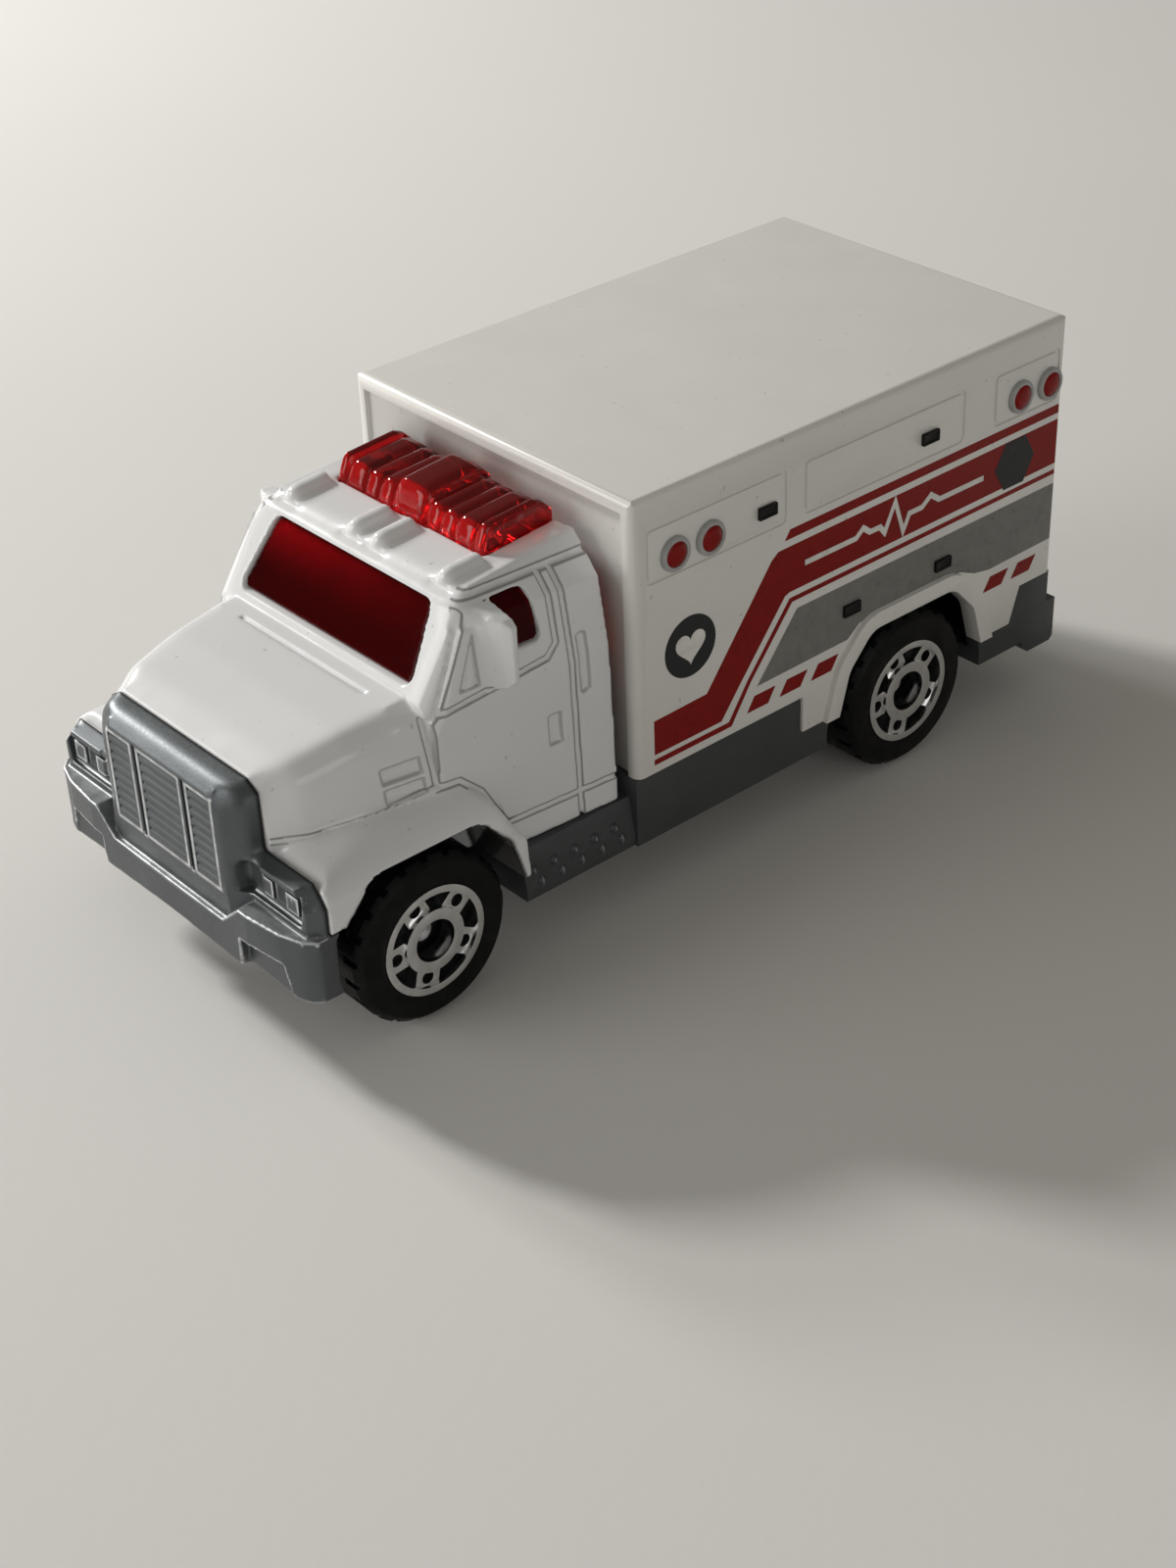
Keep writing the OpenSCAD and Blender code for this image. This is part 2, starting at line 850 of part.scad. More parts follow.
module side_beacons() {
    starts = [box_y + beacon_front, box_rear_y - beacon_rear - beacon_pitch];
    for (start = starts, i = [0, 1])
        translate([box_w / 2 - box_wall / 2, start + beacon_pitch * i, box_roof_z - beacon_drop])
            rotate([0, 90, 0]) {
                cylinder(r = beacon_r, h = box_wall / 2 + beacon_t, $fn = round_fn);
                cylinder(r = beacon_lens_r, h = box_wall / 2 + beacon_lens_t, $fn = round_fn);
            }
}

module latch(y, z) {
    translate([box_w / 2 - box_wall / 2, y - latch_l / 2, z - latch_h / 2])
        cube([box_wall / 2 + latch_t, latch_l, latch_h]);
}

module side_latches() {
    for (share = latch_upper_shares)
        latch(box_y + box_l * share, box_roof_z - latch_drop);
    for (share = latch_lower_shares)
        latch(box_y + box_l * share, box_bottom + latch_rise);
}

module locker_lines() {
    for (i = [0 : 2 : len(locker_shares) - 2]) {
        y0 = box_y + box_l * locker_shares[i];
        y1 = box_y + box_l * locker_shares[i + 1];
        z0 = box_roof_z - locker_drop;
        along_x(box_w / 2 - locker_d, box_w / 2 + overrun)
            difference() {
                rounded(window_round)
                    translate([y0, z0])
                        square([y1 - y0, locker_h]);
                rounded(window_round - locker_w / 2)
                    translate([y0 + locker_w, z0 + locker_w])
                        square([y1 - y0 - locker_w * 2, locker_h - locker_w * 2]);
            }
    }
}

module rear_door_relief() {
    door_w = box_w / 2 - door_margin;
    door_h = box_roof_z - box_bottom - door_margin * 2;
    along_y(box_rear_y - groove_d, box_rear_y + overrun)
        difference() {
            translate([-door_w, box_bottom + door_margin])
                square([door_w * 2, door_h]);
            for (side = [-1, 1])
                translate([side * door_w / 2, box_bottom + door_margin + door_h / 2])
                    square([door_w - groove_w, door_h - groove_w * 2], center = true);
        }
    for (side = [-1, 1])
        along_y(box_rear_y - groove_d, box_rear_y + overrun)
            rounded(window_round)
                translate([side * door_w / 2 - door_window_w / 2, box_roof_z - door_window_drop])
                    square([door_window_w, door_window_h]);
}

module rear_handles() {
    for (side = [-1, 1])
        translate([side * rear_handle_w * 2, box_rear_y + handle_depth / 2, box_bottom + rear_handle_rise])
            cube([rear_handle_w, box_wall + handle_depth, rear_handle_h], center = true);
}

module box_post(y) {
    difference() {
        translate([0, y, floor_z + fit])
            cylinder(r = post_r, h = box_roof_z - box_wall / 2 - floor_z - fit, $fn = round_fn);
        rivet_hole(y, floor_z + rivet_grip);
    }
}

module box_module() {
    color("white") {
        difference() {
            union() {
                difference() {
                    box_form(0);
                    box_form(box_wall);
                    translate([-box_w / 2 + box_wall, box_y + box_wall, box_bottom - overrun])
                        cube([box_w - box_wall * 2, box_l - box_wall * 2, box_wall + overrun * 2]);
                }
                both_hands() {
                    arch_panel();
                    side_beacons();
                    side_latches();
                }
                rear_handles();
            }
            both_hands() {
                along_x(box_w / 2 - box_wall - overrun, wide / 2)
                    arch_shape(rear_axle_y, 0);
                locker_lines();
            }
            translate([-box_w / 2 + front_border, box_y - overrun, 0])
                cube([box_w - front_border * 2, overrun + front_recess, box_roof_z - front_border]);
            rear_door_relief();
        }
        box_post(middle_rivet_y);
        box_post(rear_rivet_y);
    }
}

// Base
module rivet_hole(y, top) {
    translate([0, y, base_bottom - overrun])
        cylinder(r = rivet_r + press_gap, h = top - base_bottom + overrun, $fn = round_fn);
}

module skirt_outline() {
    top = box_bottom - fit;
    front = rear_axle_y - panel_front - fit;
    rear = rear_axle_y + panel_rear + fit;
    polygon([
        [box_y, base_bottom],
        [box_y, top],
        [front, top],
        [front, arch_foot - fit],
        [rear - panel_slope, arch_foot - fit],
        [rear, top],
        [box_rear_y, top],
        [box_rear_y, base_bottom]
    ]);
}

module running_board() {
    along_y(step_front_y, box_y)
        polygon([
            [0, base_bottom],
            [step_foot_w / 2, base_bottom],
            [step_edge_w / 2, base_bottom + step_edge_h],
            [step_top_w / 2, cab_bottom - fit],
            [0, cab_bottom - fit]
        ]);
    rise = cab_bottom - fit - base_bottom - step_edge_h;
    run = (step_edge_w - step_top_w) / 2;
    pitch = (box_y - step_front_y - stud_set) / studs;
    for (i = [0 : studs - 1], row = [0, 1])
        translate([
            step_edge_w / 2 - run * stud_height_shares[row] - stud_r / 2,
            step_front_y + stud_set + pitch * (i + stud_stagger_shares[row]),
            base_bottom + step_edge_h + rise * stud_height_shares[row]
        ])
            sphere(r = stud_r, $fn = soft_fn);
}

module axle_house(y) {
    translate([-base_half_w, y - axle_house_l / 2, base_bottom])
        cube([base_half_w * 2, axle_house_l, axle_z + axle_house_top - base_bottom]);
}

module axle_bore(y) {
    translate([-wide / 2, y, axle_z])
        rotate([0, 90, 0])
            cylinder(r = axle_d / 2 + running_fit, h = wide, $fn = round_fn);
}

module rear_bumper() {
    across_w = box_w / 2 - skirt_inset;
    along_x(-across_w, across_w)
        polygon([
            [rear_y - bumper_rear_l, bumper_rear_foot + bumper_rear_chamfer],
            [rear_y - bumper_rear_l + bumper_rear_chamfer, bumper_rear_foot],
            [rear_y - bumper_rear_chamfer / 2, bumper_rear_foot],
            [rear_y, bumper_rear_foot + bumper_rear_chamfer / 2],
            [rear_y, bumper_rear_top],
            [rear_y - bumper_rear_l, bumper_rear_top]
        ]);
}

module post_cup(y) {
    difference() {
        translate([0, y, floor_z - floor_t / 2])
            cylinder(r = post_cup_r, h = floor_t / 2 + post_cup_h, $fn = round_fn);
        translate([0, y, floor_z])
            cylinder(r = post_r + fit, h = post_cup_h + overrun, $fn = round_fn);
    }
}

module chassis_base() {
    outer = box_w / 2 - skirt_inset;
    front = front_y + bumper_depth + fit;
    color("dimgray")
        difference() {
            union() {
                translate([-base_half_w, front, base_bottom])
                    cube([base_half_w * 2, box_rear_y - front, floor_t]);
                translate([-outer, box_y, base_bottom])
                    cube([outer * 2, box_l, floor_t]);
                both_hands() {
                    running_board();
                    along_x(outer - skirt_t, outer)
                        skirt_outline();
                }
                for (y = [box_y, box_rear_y - skirt_t])
                    translate([-outer, y, base_bottom])
                        cube([outer * 2, skirt_t, box_bottom - fit - base_bottom]);
                rear_bumper();
                axle_house(front_axle_y);
                axle_house(rear_axle_y);
                post_cup(middle_rivet_y);
                post_cup(rear_rivet_y);
            }
            wheel_house(rear_axle_y, house_gap / 2);
            axle_bore(front_axle_y);
            axle_bore(rear_axle_y);
            for (y = [front_rivet_y, middle_rivet_y, rear_rivet_y]) {
                rivet_hole(y, floor_z + overrun);
                translate([0, y, base_bottom - overrun])
                    cylinder(r = rivet_head_r + fit, h = rivet_head_t + overrun, $fn = round_fn);
            }
        }
}

// Front moulding
module grille_slab(i) {
    back = bonnet_y - fit - skin;
    y = front_y + grille_setback + (back - front_y - grille_setback) * grille_block_shares[i];
    half_w = bumper_w / 2 * grille_width_shares[i];
    along_y(y, y + skin)
        polygon(both_sides([
            [half_w, grille_block_foot],
            [half_w, bonnet_nose_z - grille_shoulder_drops[i]],
            [half_w - grille_corner, bonnet_nose_z - grille_top_drops[i]]
        ]));
}

module wing_slab(y, width_shares, zs) {
    half_w = bumper_w / 2;
    along_y(y, y + skin)
        polygon([
            [half_w * wing_in_share, wing_foot],
            [half_w * width_shares[0], wing_foot],
            [half_w * width_shares[0], zs[0]],
            [half_w * width_shares[1], zs[1]],
            [half_w * width_shares[2], zs[2]],
            [half_w * wing_in_share, zs[2]]
        ]);
}

module headlamp_wing() {
    hull() {
        wing_slab(front_y + wing_setback, wing_front_shares, wing_front_zs);
        wing_slab(bonnet_y - fit - skin, wing_rear_shares, wing_rear_zs);
    }
}

module lamp_recess() {
    along_y(front_y + grille_setback, front_y + wing_setback + lamp_depth)
        rounded(lamp_gap)
            polygon([
                [lamp_in_x, lamp_foot_z],
                [lamp_out_x, lamp_foot_z],
                [lamp_out_x + lamp_gap, lamp_top_z],
                [lamp_in_x, lamp_top_z]
            ]);
}

module lamps() {
    y1 = front_y + wing_setback + lamp_depth + skin;
    for (x = [lamp_out_x - lamp_gap - lamp_w, (lamp_in_x + lamp_out_x) / 2 - lamp_w])
        translate([x, y1 - lamp_relief, lamp_top_z - lamp_gap - lamp_w])
            cube([lamp_w, lamp_relief, lamp_w]);
    translate([lamp_in_x + lamp_w / 2, y1 - lamp_relief / 2, lamp_foot_z])
        cube([lamp_out_x - lamp_in_x - lamp_w / 2, lamp_relief / 2, lamp_bar_h]);
}

module bumper() {
    half_w = bumper_w / 2;
    intersection() {
        translate([0, 0, base_bottom])
            linear_extrude(height = box_bottom)
                polygon(both_sides([
                    for (share = bumper_plan_shares)
                        [half_w * share[0], front_y + bumper_depth * share[1]]
                ]));
        along_y(front_y, bonnet_y + bumper_depth)
            polygon(both_sides([
                [0, bumper_foot],
                [half_w, bumper_foot - bumper_droop],
                [half_w, bumper_top],
                [half_w * bumper_ramp_share, bumper_top],
                [half_w * bumper_dip_share, bumper_top - bumper_dip],
                [0, bumper_top - bumper_dip]
            ]));
    }
}

module fog_recess() {
    along_y(front_y - overrun, front_y + fog_depth)
        polygon([
            [fog_in_x, base_bottom],
            [fog_out_x + fog_rake, base_bottom],
            [fog_out_x, fog_top_z],
            [fog_in_x, fog_top_z]
        ]);
}

// A grille panel: a recess behind a thin frame, filled with a stack of sloping louvres
module grille_panel(x0, w) {
    face = front_y + grille_setback;
    pitch = (grille_h - grille_rim * 2) / louvres;
    translate([x0 + grille_rim, 0, grille_foot_z + grille_rim])
        difference() {
            translate([0, face - overrun, 0])
                cube([w - grille_rim * 2, overrun + grille_relief, grille_h - grille_rim * 2]);
            for (i = [0 : louvres - 1])
                translate([0, 0, pitch * i])
                    along_x(-overrun, w)
                        polygon([
                            [face + grille_relief + skin, -fit],
                            [face, pitch * louvre_shares[0]],
                            [face, pitch * louvre_shares[1]],
                            [face + grille_relief + skin, pitch * louvre_shares[2]]
                        ]);
        }
}

module grille_gaps() {
    face = front_y + grille_setback;
    for (side = [-1, 1])
        translate([
            side * (grille_mid_w + grille_gap) / 2 - grille_gap / 4,
            face - overrun,
            grille_foot_z
        ])
            cube([grille_gap / 2, overrun + grille_relief, grille_h]);
}

module tongue() {
    translate([-post_cup_r, front_y + bumper_depth / 2, floor_z + fit])
        cube([post_cup_r * 2, front_rivet_y + post_cup_r - front_y - bumper_depth / 2, tongue_t]);
    translate([-post_cup_r, front_y + bumper_depth / 2, floor_z + fit])
        cube([post_cup_r * 2, bumper_depth / 4, grille_block_foot - floor_z]);
}

module front_moulding() {
    side_x = (grille_mid_w + grille_gap * 2) / 2;
    color("gray") {
        difference() {
            union() {
                hull() {
                    for (i = [0 : len(grille_block_shares) - 1])
                        grille_slab(i);
                }
                both_hands()
                    headlamp_wing();
                bumper();
                tongue();
            }
            both_hands() {
                lamp_recess();
                fog_recess();
                grille_panel(side_x, grille_side_w);
            }
            grille_panel(-grille_mid_w / 2, grille_mid_w);
            grille_gaps();
            rivet_hole(front_rivet_y, tongue_top + overrun);
        }
        both_hands()
            lamps();
    }
}

// Red window moulding with the light bar
function sum_to(list, n) = n == 0 ? 0 : list[n - 1] + sum_to(list, n - 1);

module bar_profile(height_share) {
    polygon([
        for (i = [0 : len(bar_y_shares) - 1])
            [
                cab_rear_y - bar_l + bar_l * bar_y_shares[i],
                bar_z_shares[i] == 0
                    ? brow_z - cab_wall
                    : brow_z + bar_h * height_share * bar_z_shares[i]
            ]
    ]);
}

module light_bar() {
    along_x(-bar_w / 2, bar_w / 2)
        bar_profile(bar_valley_share);
    for (i = [0 : len(bar_block_shares) - 1])
        along_x(
            -bar_w / 2 + bar_w * sum_to(bar_block_shares, i) + (i == 0 ? 0 : bar_joint / 2),
            -bar_w / 2 + bar_w * sum_to(bar_block_shares, i + 1)
                - (i == len(bar_block_shares) - 1 ? 0 : bar_joint / 2)
        )
            bar_profile(bar_height_shares[i]);
}

module window_and_light_bar() {
    inset = cab_wall + fit;
    color("red", 0.8) {
        difference() {
            cab_form(inset);
            cab_form(inset + glass_t);
            translate([-wide / 2, front_y, 0])
                cube([wide, overall_l, screen_foot_z - glass_lap]);
            translate([-wide / 2, cab_rear_y - inset - glass_t - skin, 0])
                cube([wide, overall_l, wide]);
        }
        light_bar();
    }
}

// Seats and dashboard
module cab_interior() {
    foot = cab_bottom + fit;
    back_y = cab_rear_y - back_gap;
    dash_y = cowl_y + cab_wall + dash_gap;
    color("darkslategray") {
        translate([-tub_w / 2, dash_y, foot])
            cube([tub_w, back_y - dash_y, tub_t]);
        translate([-seat_w / 2, back_y - seat_l, foot])
            cube([seat_w, seat_l, seat_z - foot]);
        difference() {
            translate([-seat_w / 2, back_y - back_t, foot])
                cube([seat_w, back_t, back_top - foot]);
            translate([-tub_t / 2, back_y - back_t - overrun, seat_z])
                cube([tub_t, back_t + overrun * 2, back_top]);
        }
        translate([-tub_w / 2, dash_y, foot])
            cube([tub_w, tub_t, dash_foot - foot + tub_t]);
        translate([-dash_w / 2, dash_y, dash_foot])
            cube([dash_w, dash_l, dash_top - dash_foot]);
        translate([steering_x, dash_y + dash_l - steering_tube_r, (dash_foot + dash_top) / 2])
            rotate([-steering_angle, 0, 0]) {
                cylinder(r = steering_tube_r * 2, h = column_l, $fn = round_fn);
                translate([0, 0, column_l - steering_tube_r]) {
                    rotate_extrude($fn = round_fn)
                        translate([steering_r - steering_tube_r, 0])
                            circle(r = steering_tube_r, $fn = soft_fn);
                    translate([-steering_r + steering_tube_r, -steering_tube_r, -steering_tube_r])
                        cube([(steering_r - steering_tube_r) * 2, steering_tube_r * 2, steering_tube_r * 2]);
                }
            }
    }
}

// Rivets
module rivet(y, top) {
    color("silver")
        translate([0, y, base_bottom]) {
            cylinder(r = rivet_head_r, h = rivet_head_t - fit, $fn = round_fn);
            cylinder(r = rivet_r, h = top - base_bottom - fit, $fn = round_fn);
        }
}

module front_rivet() {
    rivet(front_rivet_y, tongue_top + rivet_grip);
}

module middle_rivet() {
    rivet(middle_rivet_y, floor_z + rivet_grip);
}

module rear_rivet() {
    rivet(rear_rivet_y, floor_z + rivet_grip);
}

// Axles and wheels
module axle(y) {
    head_x = bore_face_x + hub_play;
    color("silver")
        translate([0, y, axle_z])
            rotate([0, 90, 0]) {
                cylinder(r = axle_d / 2, h = head_x * 2, center = true, $fn = round_fn);
                for (side = [-1, 1])
                    translate([0, 0, side * (head_x + axle_head_t / 2)])
                        cylinder(r = axle_head_r, h = axle_head_t, center = true, $fn = round_fn);
            }
}

module front_axle() {
    axle(front_axle_y);
}

module rear_axle() {
    axle(rear_axle_y);
}

// Places a piece drawn along +Z onto one end of an axle
module at_wheel(y, side) {
    translate([0, y, axle_z])
        rotate([0, side * 90, 0])
            children();
}

module tyre() {
    r = tyre_d / 2;
    inner = track_w / 2 - wheel_w;
    outer = track_w / 2 - tyre_inset;
    seat_r = rim_d / 2 + press_gap;
    bore_r = axle_d / 2 + running_fit;
    color("black")
        difference() {
            rotate_extrude($fn = round_fn * 2)
                polygon([
                    [bore_r, base_half_w + hub_side_gap],
                    [hub_boss_r, base_half_w + hub_side_gap],
                    [hub_boss_r, inner],
                    [r - shoulder, inner],
                    [r, inner + shoulder],
                    [r, outer - shoulder],
                    [r - shoulder, outer],
                    [seat_r, outer],
                    [seat_r, hub_face_x],
                    [hub_hole_r, hub_face_x],
                    [hub_hole_r, bore_face_x],
                    [bore_r, bore_face_x]
                ]);
            for (i = [0 : tread_bars - 1])
                rotate(360 / tread_bars * i)
                    translate([r - tread_d, -tread_w / 2, outer - wheel_w / 3])
                        cube([overrun, tread_w, wheel_w]);
            for (i = [0 : tread_bars - 1])
                rotate(360 / tread_bars * (i + tread_stagger_share))
                    translate([r - tread_d, -tread_w / 2, inner - wheel_w + wheel_w / 3])
                        cube([overrun, tread_w, wheel_w]);
        }
}

module rim() {
    rim_r = rim_d / 2;
    hole_at = (hub_r + rim_r - rim_ring) / 2;
    color("gainsboro")
        translate([0, 0, track_w / 2 - rim_t])
            difference() {
                union() {
                    linear_extrude(height = rim_t) {
                        difference() {
                            circle(r = rim_r, $fn = round_fn * 2);
                            circle(r = rim_r - rim_ring, $fn = round_fn * 2);
                        }
                        circle(r = hub_r, $fn = round_fn);
                    }
                    linear_extrude(height = rim_t - spoke_set)
                        for (i = [0 : spokes - 1])
                            rotate(spoke_phase + 360 / spokes * i)
                                translate([0, -spoke_w / 2])
                                    square([rim_r - rim_ring / 2, spoke_w]);
                }
                translate([0, 0, -overrun]) {
                    cylinder(r = hub_hole_r, h = rim_t + overrun * 2, $fn = round_fn);
                    for (i = [0 : spokes - 1])
                        rotate(spoke_phase + 360 / spokes * i)
                            translate([hole_at, 0, 0])
                                cylinder(r = spoke_hole_r, h = rim_t + overrun * 2, $fn = soft_fn);
                }
            }
}

module front_left_tyre() {
    at_wheel(front_axle_y, 1)
        tyre();
}

module front_right_tyre() {
    at_wheel(front_axle_y, -1)
        tyre();
}

module rear_left_tyre() {
    at_wheel(rear_axle_y, 1)
        tyre();
}

module rear_right_tyre() {
    at_wheel(rear_axle_y, -1)
        tyre();
}

module front_left_rim() {
    at_wheel(front_axle_y, 1)
        rim();
}

module front_right_rim() {
    at_wheel(front_axle_y, -1)
        rim();
}

module rear_left_rim() {
    at_wheel(rear_axle_y, 1)
        rim();
}

module rear_right_rim() {
    at_wheel(rear_axle_y, -1)
        rim();
}

cab_casting();
box_module();
chassis_base();
front_moulding();
window_and_light_bar();
cab_interior();
front_rivet();
middle_rivet();
rear_rivet();
front_axle();
rear_axle();
front_left_tyre();
front_right_tyre();
rear_left_tyre();
rear_right_tyre();
front_left_rim();
front_right_rim();
rear_left_rim();
rear_right_rim();
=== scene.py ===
"""Toy ambulance: softened castings, clear red windows, printed stripes, rolling wheels and a plain stage."""

import math

import bmesh
import bpy
import numpy as np
from mathutils import Matrix, Vector


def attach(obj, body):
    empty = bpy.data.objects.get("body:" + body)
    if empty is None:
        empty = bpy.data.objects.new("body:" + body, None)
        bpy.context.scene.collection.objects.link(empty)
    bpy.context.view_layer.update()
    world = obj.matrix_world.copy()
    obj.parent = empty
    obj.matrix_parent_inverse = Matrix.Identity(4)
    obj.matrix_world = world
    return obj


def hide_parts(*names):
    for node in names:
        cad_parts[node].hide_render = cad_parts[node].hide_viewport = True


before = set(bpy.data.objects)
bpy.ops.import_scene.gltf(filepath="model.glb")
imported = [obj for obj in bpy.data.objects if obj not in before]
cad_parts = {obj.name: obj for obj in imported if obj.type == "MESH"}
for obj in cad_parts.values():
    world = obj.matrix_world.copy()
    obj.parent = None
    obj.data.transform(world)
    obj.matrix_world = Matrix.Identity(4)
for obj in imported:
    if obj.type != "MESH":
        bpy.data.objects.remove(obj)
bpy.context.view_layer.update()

bl_info = {
    "name": "Toy Ambulance",
    "version": (1, 0, 0),
    "blender": (4, 5, 0),
    "location": "View3D > Sidebar > Ambulance",
    "description": "Dresses the solids of a die-cast toy ambulance and sets its stage",
    "category": "Object",
}

MM = 0.001
ACROSS, ALONG, HEIGHT = 0, 1, 2
WHEELS = ("front_left", "front_right", "rear_left", "rear_right")
IMAGE_HEIGHT = 1600
SENSOR = 36.0
MOST_FACES, WINDOW_FACES = 190000, 180000
ROUND_STEPS, LAMP_STEPS, WEIGHT_LEVELS = 48, 32, 10
MITRE = 0.45

# Lines on the cab's sides, in millimetres: along the vehicle and above the ground
CREASE = [(-33.6, 14.68), (-28.2, 15.0), (-25.8, 15.05), (-22.4, 15.3)]
BEADS = (
    [(-11.35, 8.0), (-11.35, 26.6)],
    [(-21.85, 20.4), (-13.15, 21.35), (-12.35, 22.15), (-12.35, 26.6)],
    [(-18.8, 26.1), (-21.85, 20.4), (-22.35, 19.9), (-22.35, 15.5)],
    CREASE[:3] + [(-22.4, 15.4), (-20.7, 15.26), (-19.15, 13.8), (-17.45, 10.64)],
    [(-17.45, 10.64), (-8.3, 10.6)],
    [(-18.4, 26.85), (-8.3, 26.85)],
)
PRESSED = (
    [(-20.0, 21.4), (-18.45, 21.4), (-18.45, 24.8), (-20.0, 21.4)],
    [(-13.5, 14.95), (-13.5, 17.15), (-12.5, 17.15), (-12.5, 14.95), (-13.5, 14.95)],
    [(-10.75, 18.0), (-10.55, 17.85), (-10.0, 18.0), (-10.0, 22.0), (-10.35, 22.15), (-10.75, 22.0),
     (-10.75, 18.0)],
    [(-25.9, 15.3), (-25.9, 16.3), (-23.1, 16.3), (-23.1, 15.3), (-25.9, 15.3)],
    [(-25.9, 16.7), (-25.9, 17.7), (-23.1, 17.7), (-23.1, 16.7), (-25.9, 16.7)],
)

# The cab's skin, in millimetres: half widths by height, half widths of the bonnet by place along it,
# and how far from the skin a place still counts as part of it
CAB_HALF_WIDTHS = ((8.6, 13.35), (20.4, 12.95), (25.4, 12.1), (26.6, 10.8), (28.0, 9.8))
CAB_FRONT, CAB_REAR, CAB_TAPER = -22.4, -8.3, 0.93
BONNET_HALF_WIDTHS = ((-33.2, 8.7), (-31.2, 10.1), (-27.5, 11.3), (-20.8, 12.3))
SKIN_IN, SKIN_OUT, SKIN_LEAD = 0.55, 0.3, 0.2
BONNET_IN, BONNET_OUT, UPRIGHT = 1.5, 0.12, (0.35, 0.6)
FRONT_AXLE = (-25.3, 6.15)
ARCH_FACING, ARCH_REACH = (0.1, 0.4), (10.0, 9.5)

# Parts of the cab that are rounded further: ranges as axis, start and full place, and limits, in millimetres
GUARD_RUN = ((ALONG, -32.6, -31.8), (ALONG, -17.6, -18.4))
GUARD_IN, GUARD_OUT, GUARD_REACH, GUARD_TOP = 0.3, 0.2, (7.9, 8.8), 16.5
BONNET_LID = ((ALONG, -33.0, -32.2), (ALONG, -23.9, -24.5), (HEIGHT, 15.4, 15.9))
LID_OVER = 0.3
LOUVRE_FRONT, LOUVRE_TOP, LOUVRE_INNER = -26.4, 18.2, 9.5
BROW = ((ALONG, -20.2, -19.6), (ALONG, -16.4, -17.0), (HEIGHT, 26.22, 26.45))
TEMPLE = ((ALONG, -20.2, -19.6), (ALONG, -17.4, -17.9), (HEIGHT, 25.2, 25.6))
BROW_HALF, TEMPLE_INNER, TEMPLE_OUTER = 9.9, 9.4, 12.2
MARKERS = (1.3, 8.21)
MARKER_HALF, MARKER_FRONT, MARKER_TOP, MARKER_SHARE = 1.0, -18.3, (26.9, 27.1), 0.15

# Mirrors, in millimetres: their box, where they leave the skin, and shares by which they turn and thin
MIRROR_LOW, MIRROR_HIGH, MIRROR_FRONT, MIRROR_REAR = 20.6, 26.4, -18.7, -16.35
MIRROR_ROOT, MIRROR_SPAN = (0.1, 0.7), (0.2, 2.2)
MIRROR_TURN, MIRROR_THIN = 0.4, 0.35
CORNER_FILL = ((9.85, -17.4, 25.95), (10.64, -16.4, 26.5))

# Light bar, in millimetres, with its lobes as shares of the width and of the height
BAR_HALF, BAR_FRONT, BAR_LENGTH, BAR_FOOT, BAR_HEIGHT = 7.8, -14.3, 6.0, 27.2, 2.3
SIDE_LOBES = ((0.065, 1.0), (0.13, 0.92), (0.095, 0.88), (0.095, 0.88))
BAR_LOBES = SIDE_LOBES + ((0.23, 1.18),) + SIDE_LOBES[::-1]
BAR_VALLEY, BAR_SCALLOP = 0.66, 0.5
NARROW_LOBE, NARROW_POWER, WIDE_POWER = 0.1, 2.4, 4.0
BAR_RUN = (
    (-0.02, 0.08), (0.0, 0.3), (0.03, 0.55), (0.07, 0.78), (0.12, 0.91), (0.5, 0.99), (0.78, 1.04), (0.88, 0.94),
    (0.95, 0.76), (1.0, 0.5),
)
# Where light is painted into the clear plastic: the lobes' fronts by their facing, and the upper windscreen
LOBE_SIDE, LOBE_PAINTED_LIGHT = 0.25, (0.05, 0.75)
SCREEN_PAINTED_LIGHT = ((HEIGHT, 23.0, 25.5), (HEIGHT, 26.2, 25.8), (ACROSS, 12.0, -9.0))

# Window openings, in millimetres: height and half width of the windscreen, the ranges of a side window,
# their corners, and how the glass behind them is found and set
SCREEN_FOOT, SCREEN_HEAD = (21.4, 9.45), (26.2, 8.4)
SCREEN_START, SCREEN_END = (20.9, -22.4), (27.2, -18.4)
SIDE_WINDOW = ((-17.5, -13.3), (22.7, 26.35))
SCREEN_CORNER, SCREEN_FACING, SCREEN_DEPTH = 0.7, 0.4, 1.9
SIDE_CORNER, SIDE_FACING, SIDE_DEPTH = 0.5, 0.5, 1.8
GLASS_SET, GLASS_MARGIN = 0.28, 0.1

# Grille panels, in millimetres: half ranges across the front, their face and the share of depth that shows
GRILLE_PANELS = ((0.0, 2.25), (3.35, 5.85))
GRILLE_FACE, GRILLE_REACH, GRILLE_SHARE = -35.45, 0.4, 0.58
GRILLE_FOOT, GRILLE_HEAD = 10.7, 17.6

# Parts of the front moulding that are rounded further, that get worn edges with a painted highlight, and that get
# a painted shade at the joint, in millimetres
GRILLE_SURROUND = ((HEIGHT, 11.2, 11.8), (ALONG, -33.35, -33.6))
SURROUND_HALF, PANELS_HALF, PANELS_DEPTH = 9.3, 6.05, 0.45
LAMP_WINGS = ((ACROSS, 8.4, 9.0), (ALONG, -34.0, -33.7)) + GRILLE_SURROUND
BUMPER_LIP = ((ACROSS, 9.6, 10.2), (HEIGHT, 8.9, 9.3), (HEIGHT, 10.35, 10.0))
BUMPER_END = ((ACROSS, 13.1, 13.4), (HEIGHT, 6.2, 6.6), (HEIGHT, 10.35, 10.0))
BUMPER_FOOT, FOOT_REAR, FOOT_SHARE = (7.0, 6.6), -32.0, 0.15
HIGHLIGHT_FRAMES = (
    ((-2.38, 2.38), (10.78, 17.52)), ((3.22, 5.98), (10.78, 17.52)),
    ((8.98, 10.23), (11.7, 12.95)), ((11.7, 12.95), (11.7, 12.95)), ((8.0, 13.25), (11.12, 11.14)),
)
FRAME_HALF, FRAME_FACING, FRONT_FACES = 0.1, (-0.2, -0.6), -33.0
BUMPER_WEAR_AND_HIGHLIGHT = ((HEIGHT, 10.9, 10.8), (ALONG, -33.3, -33.6))
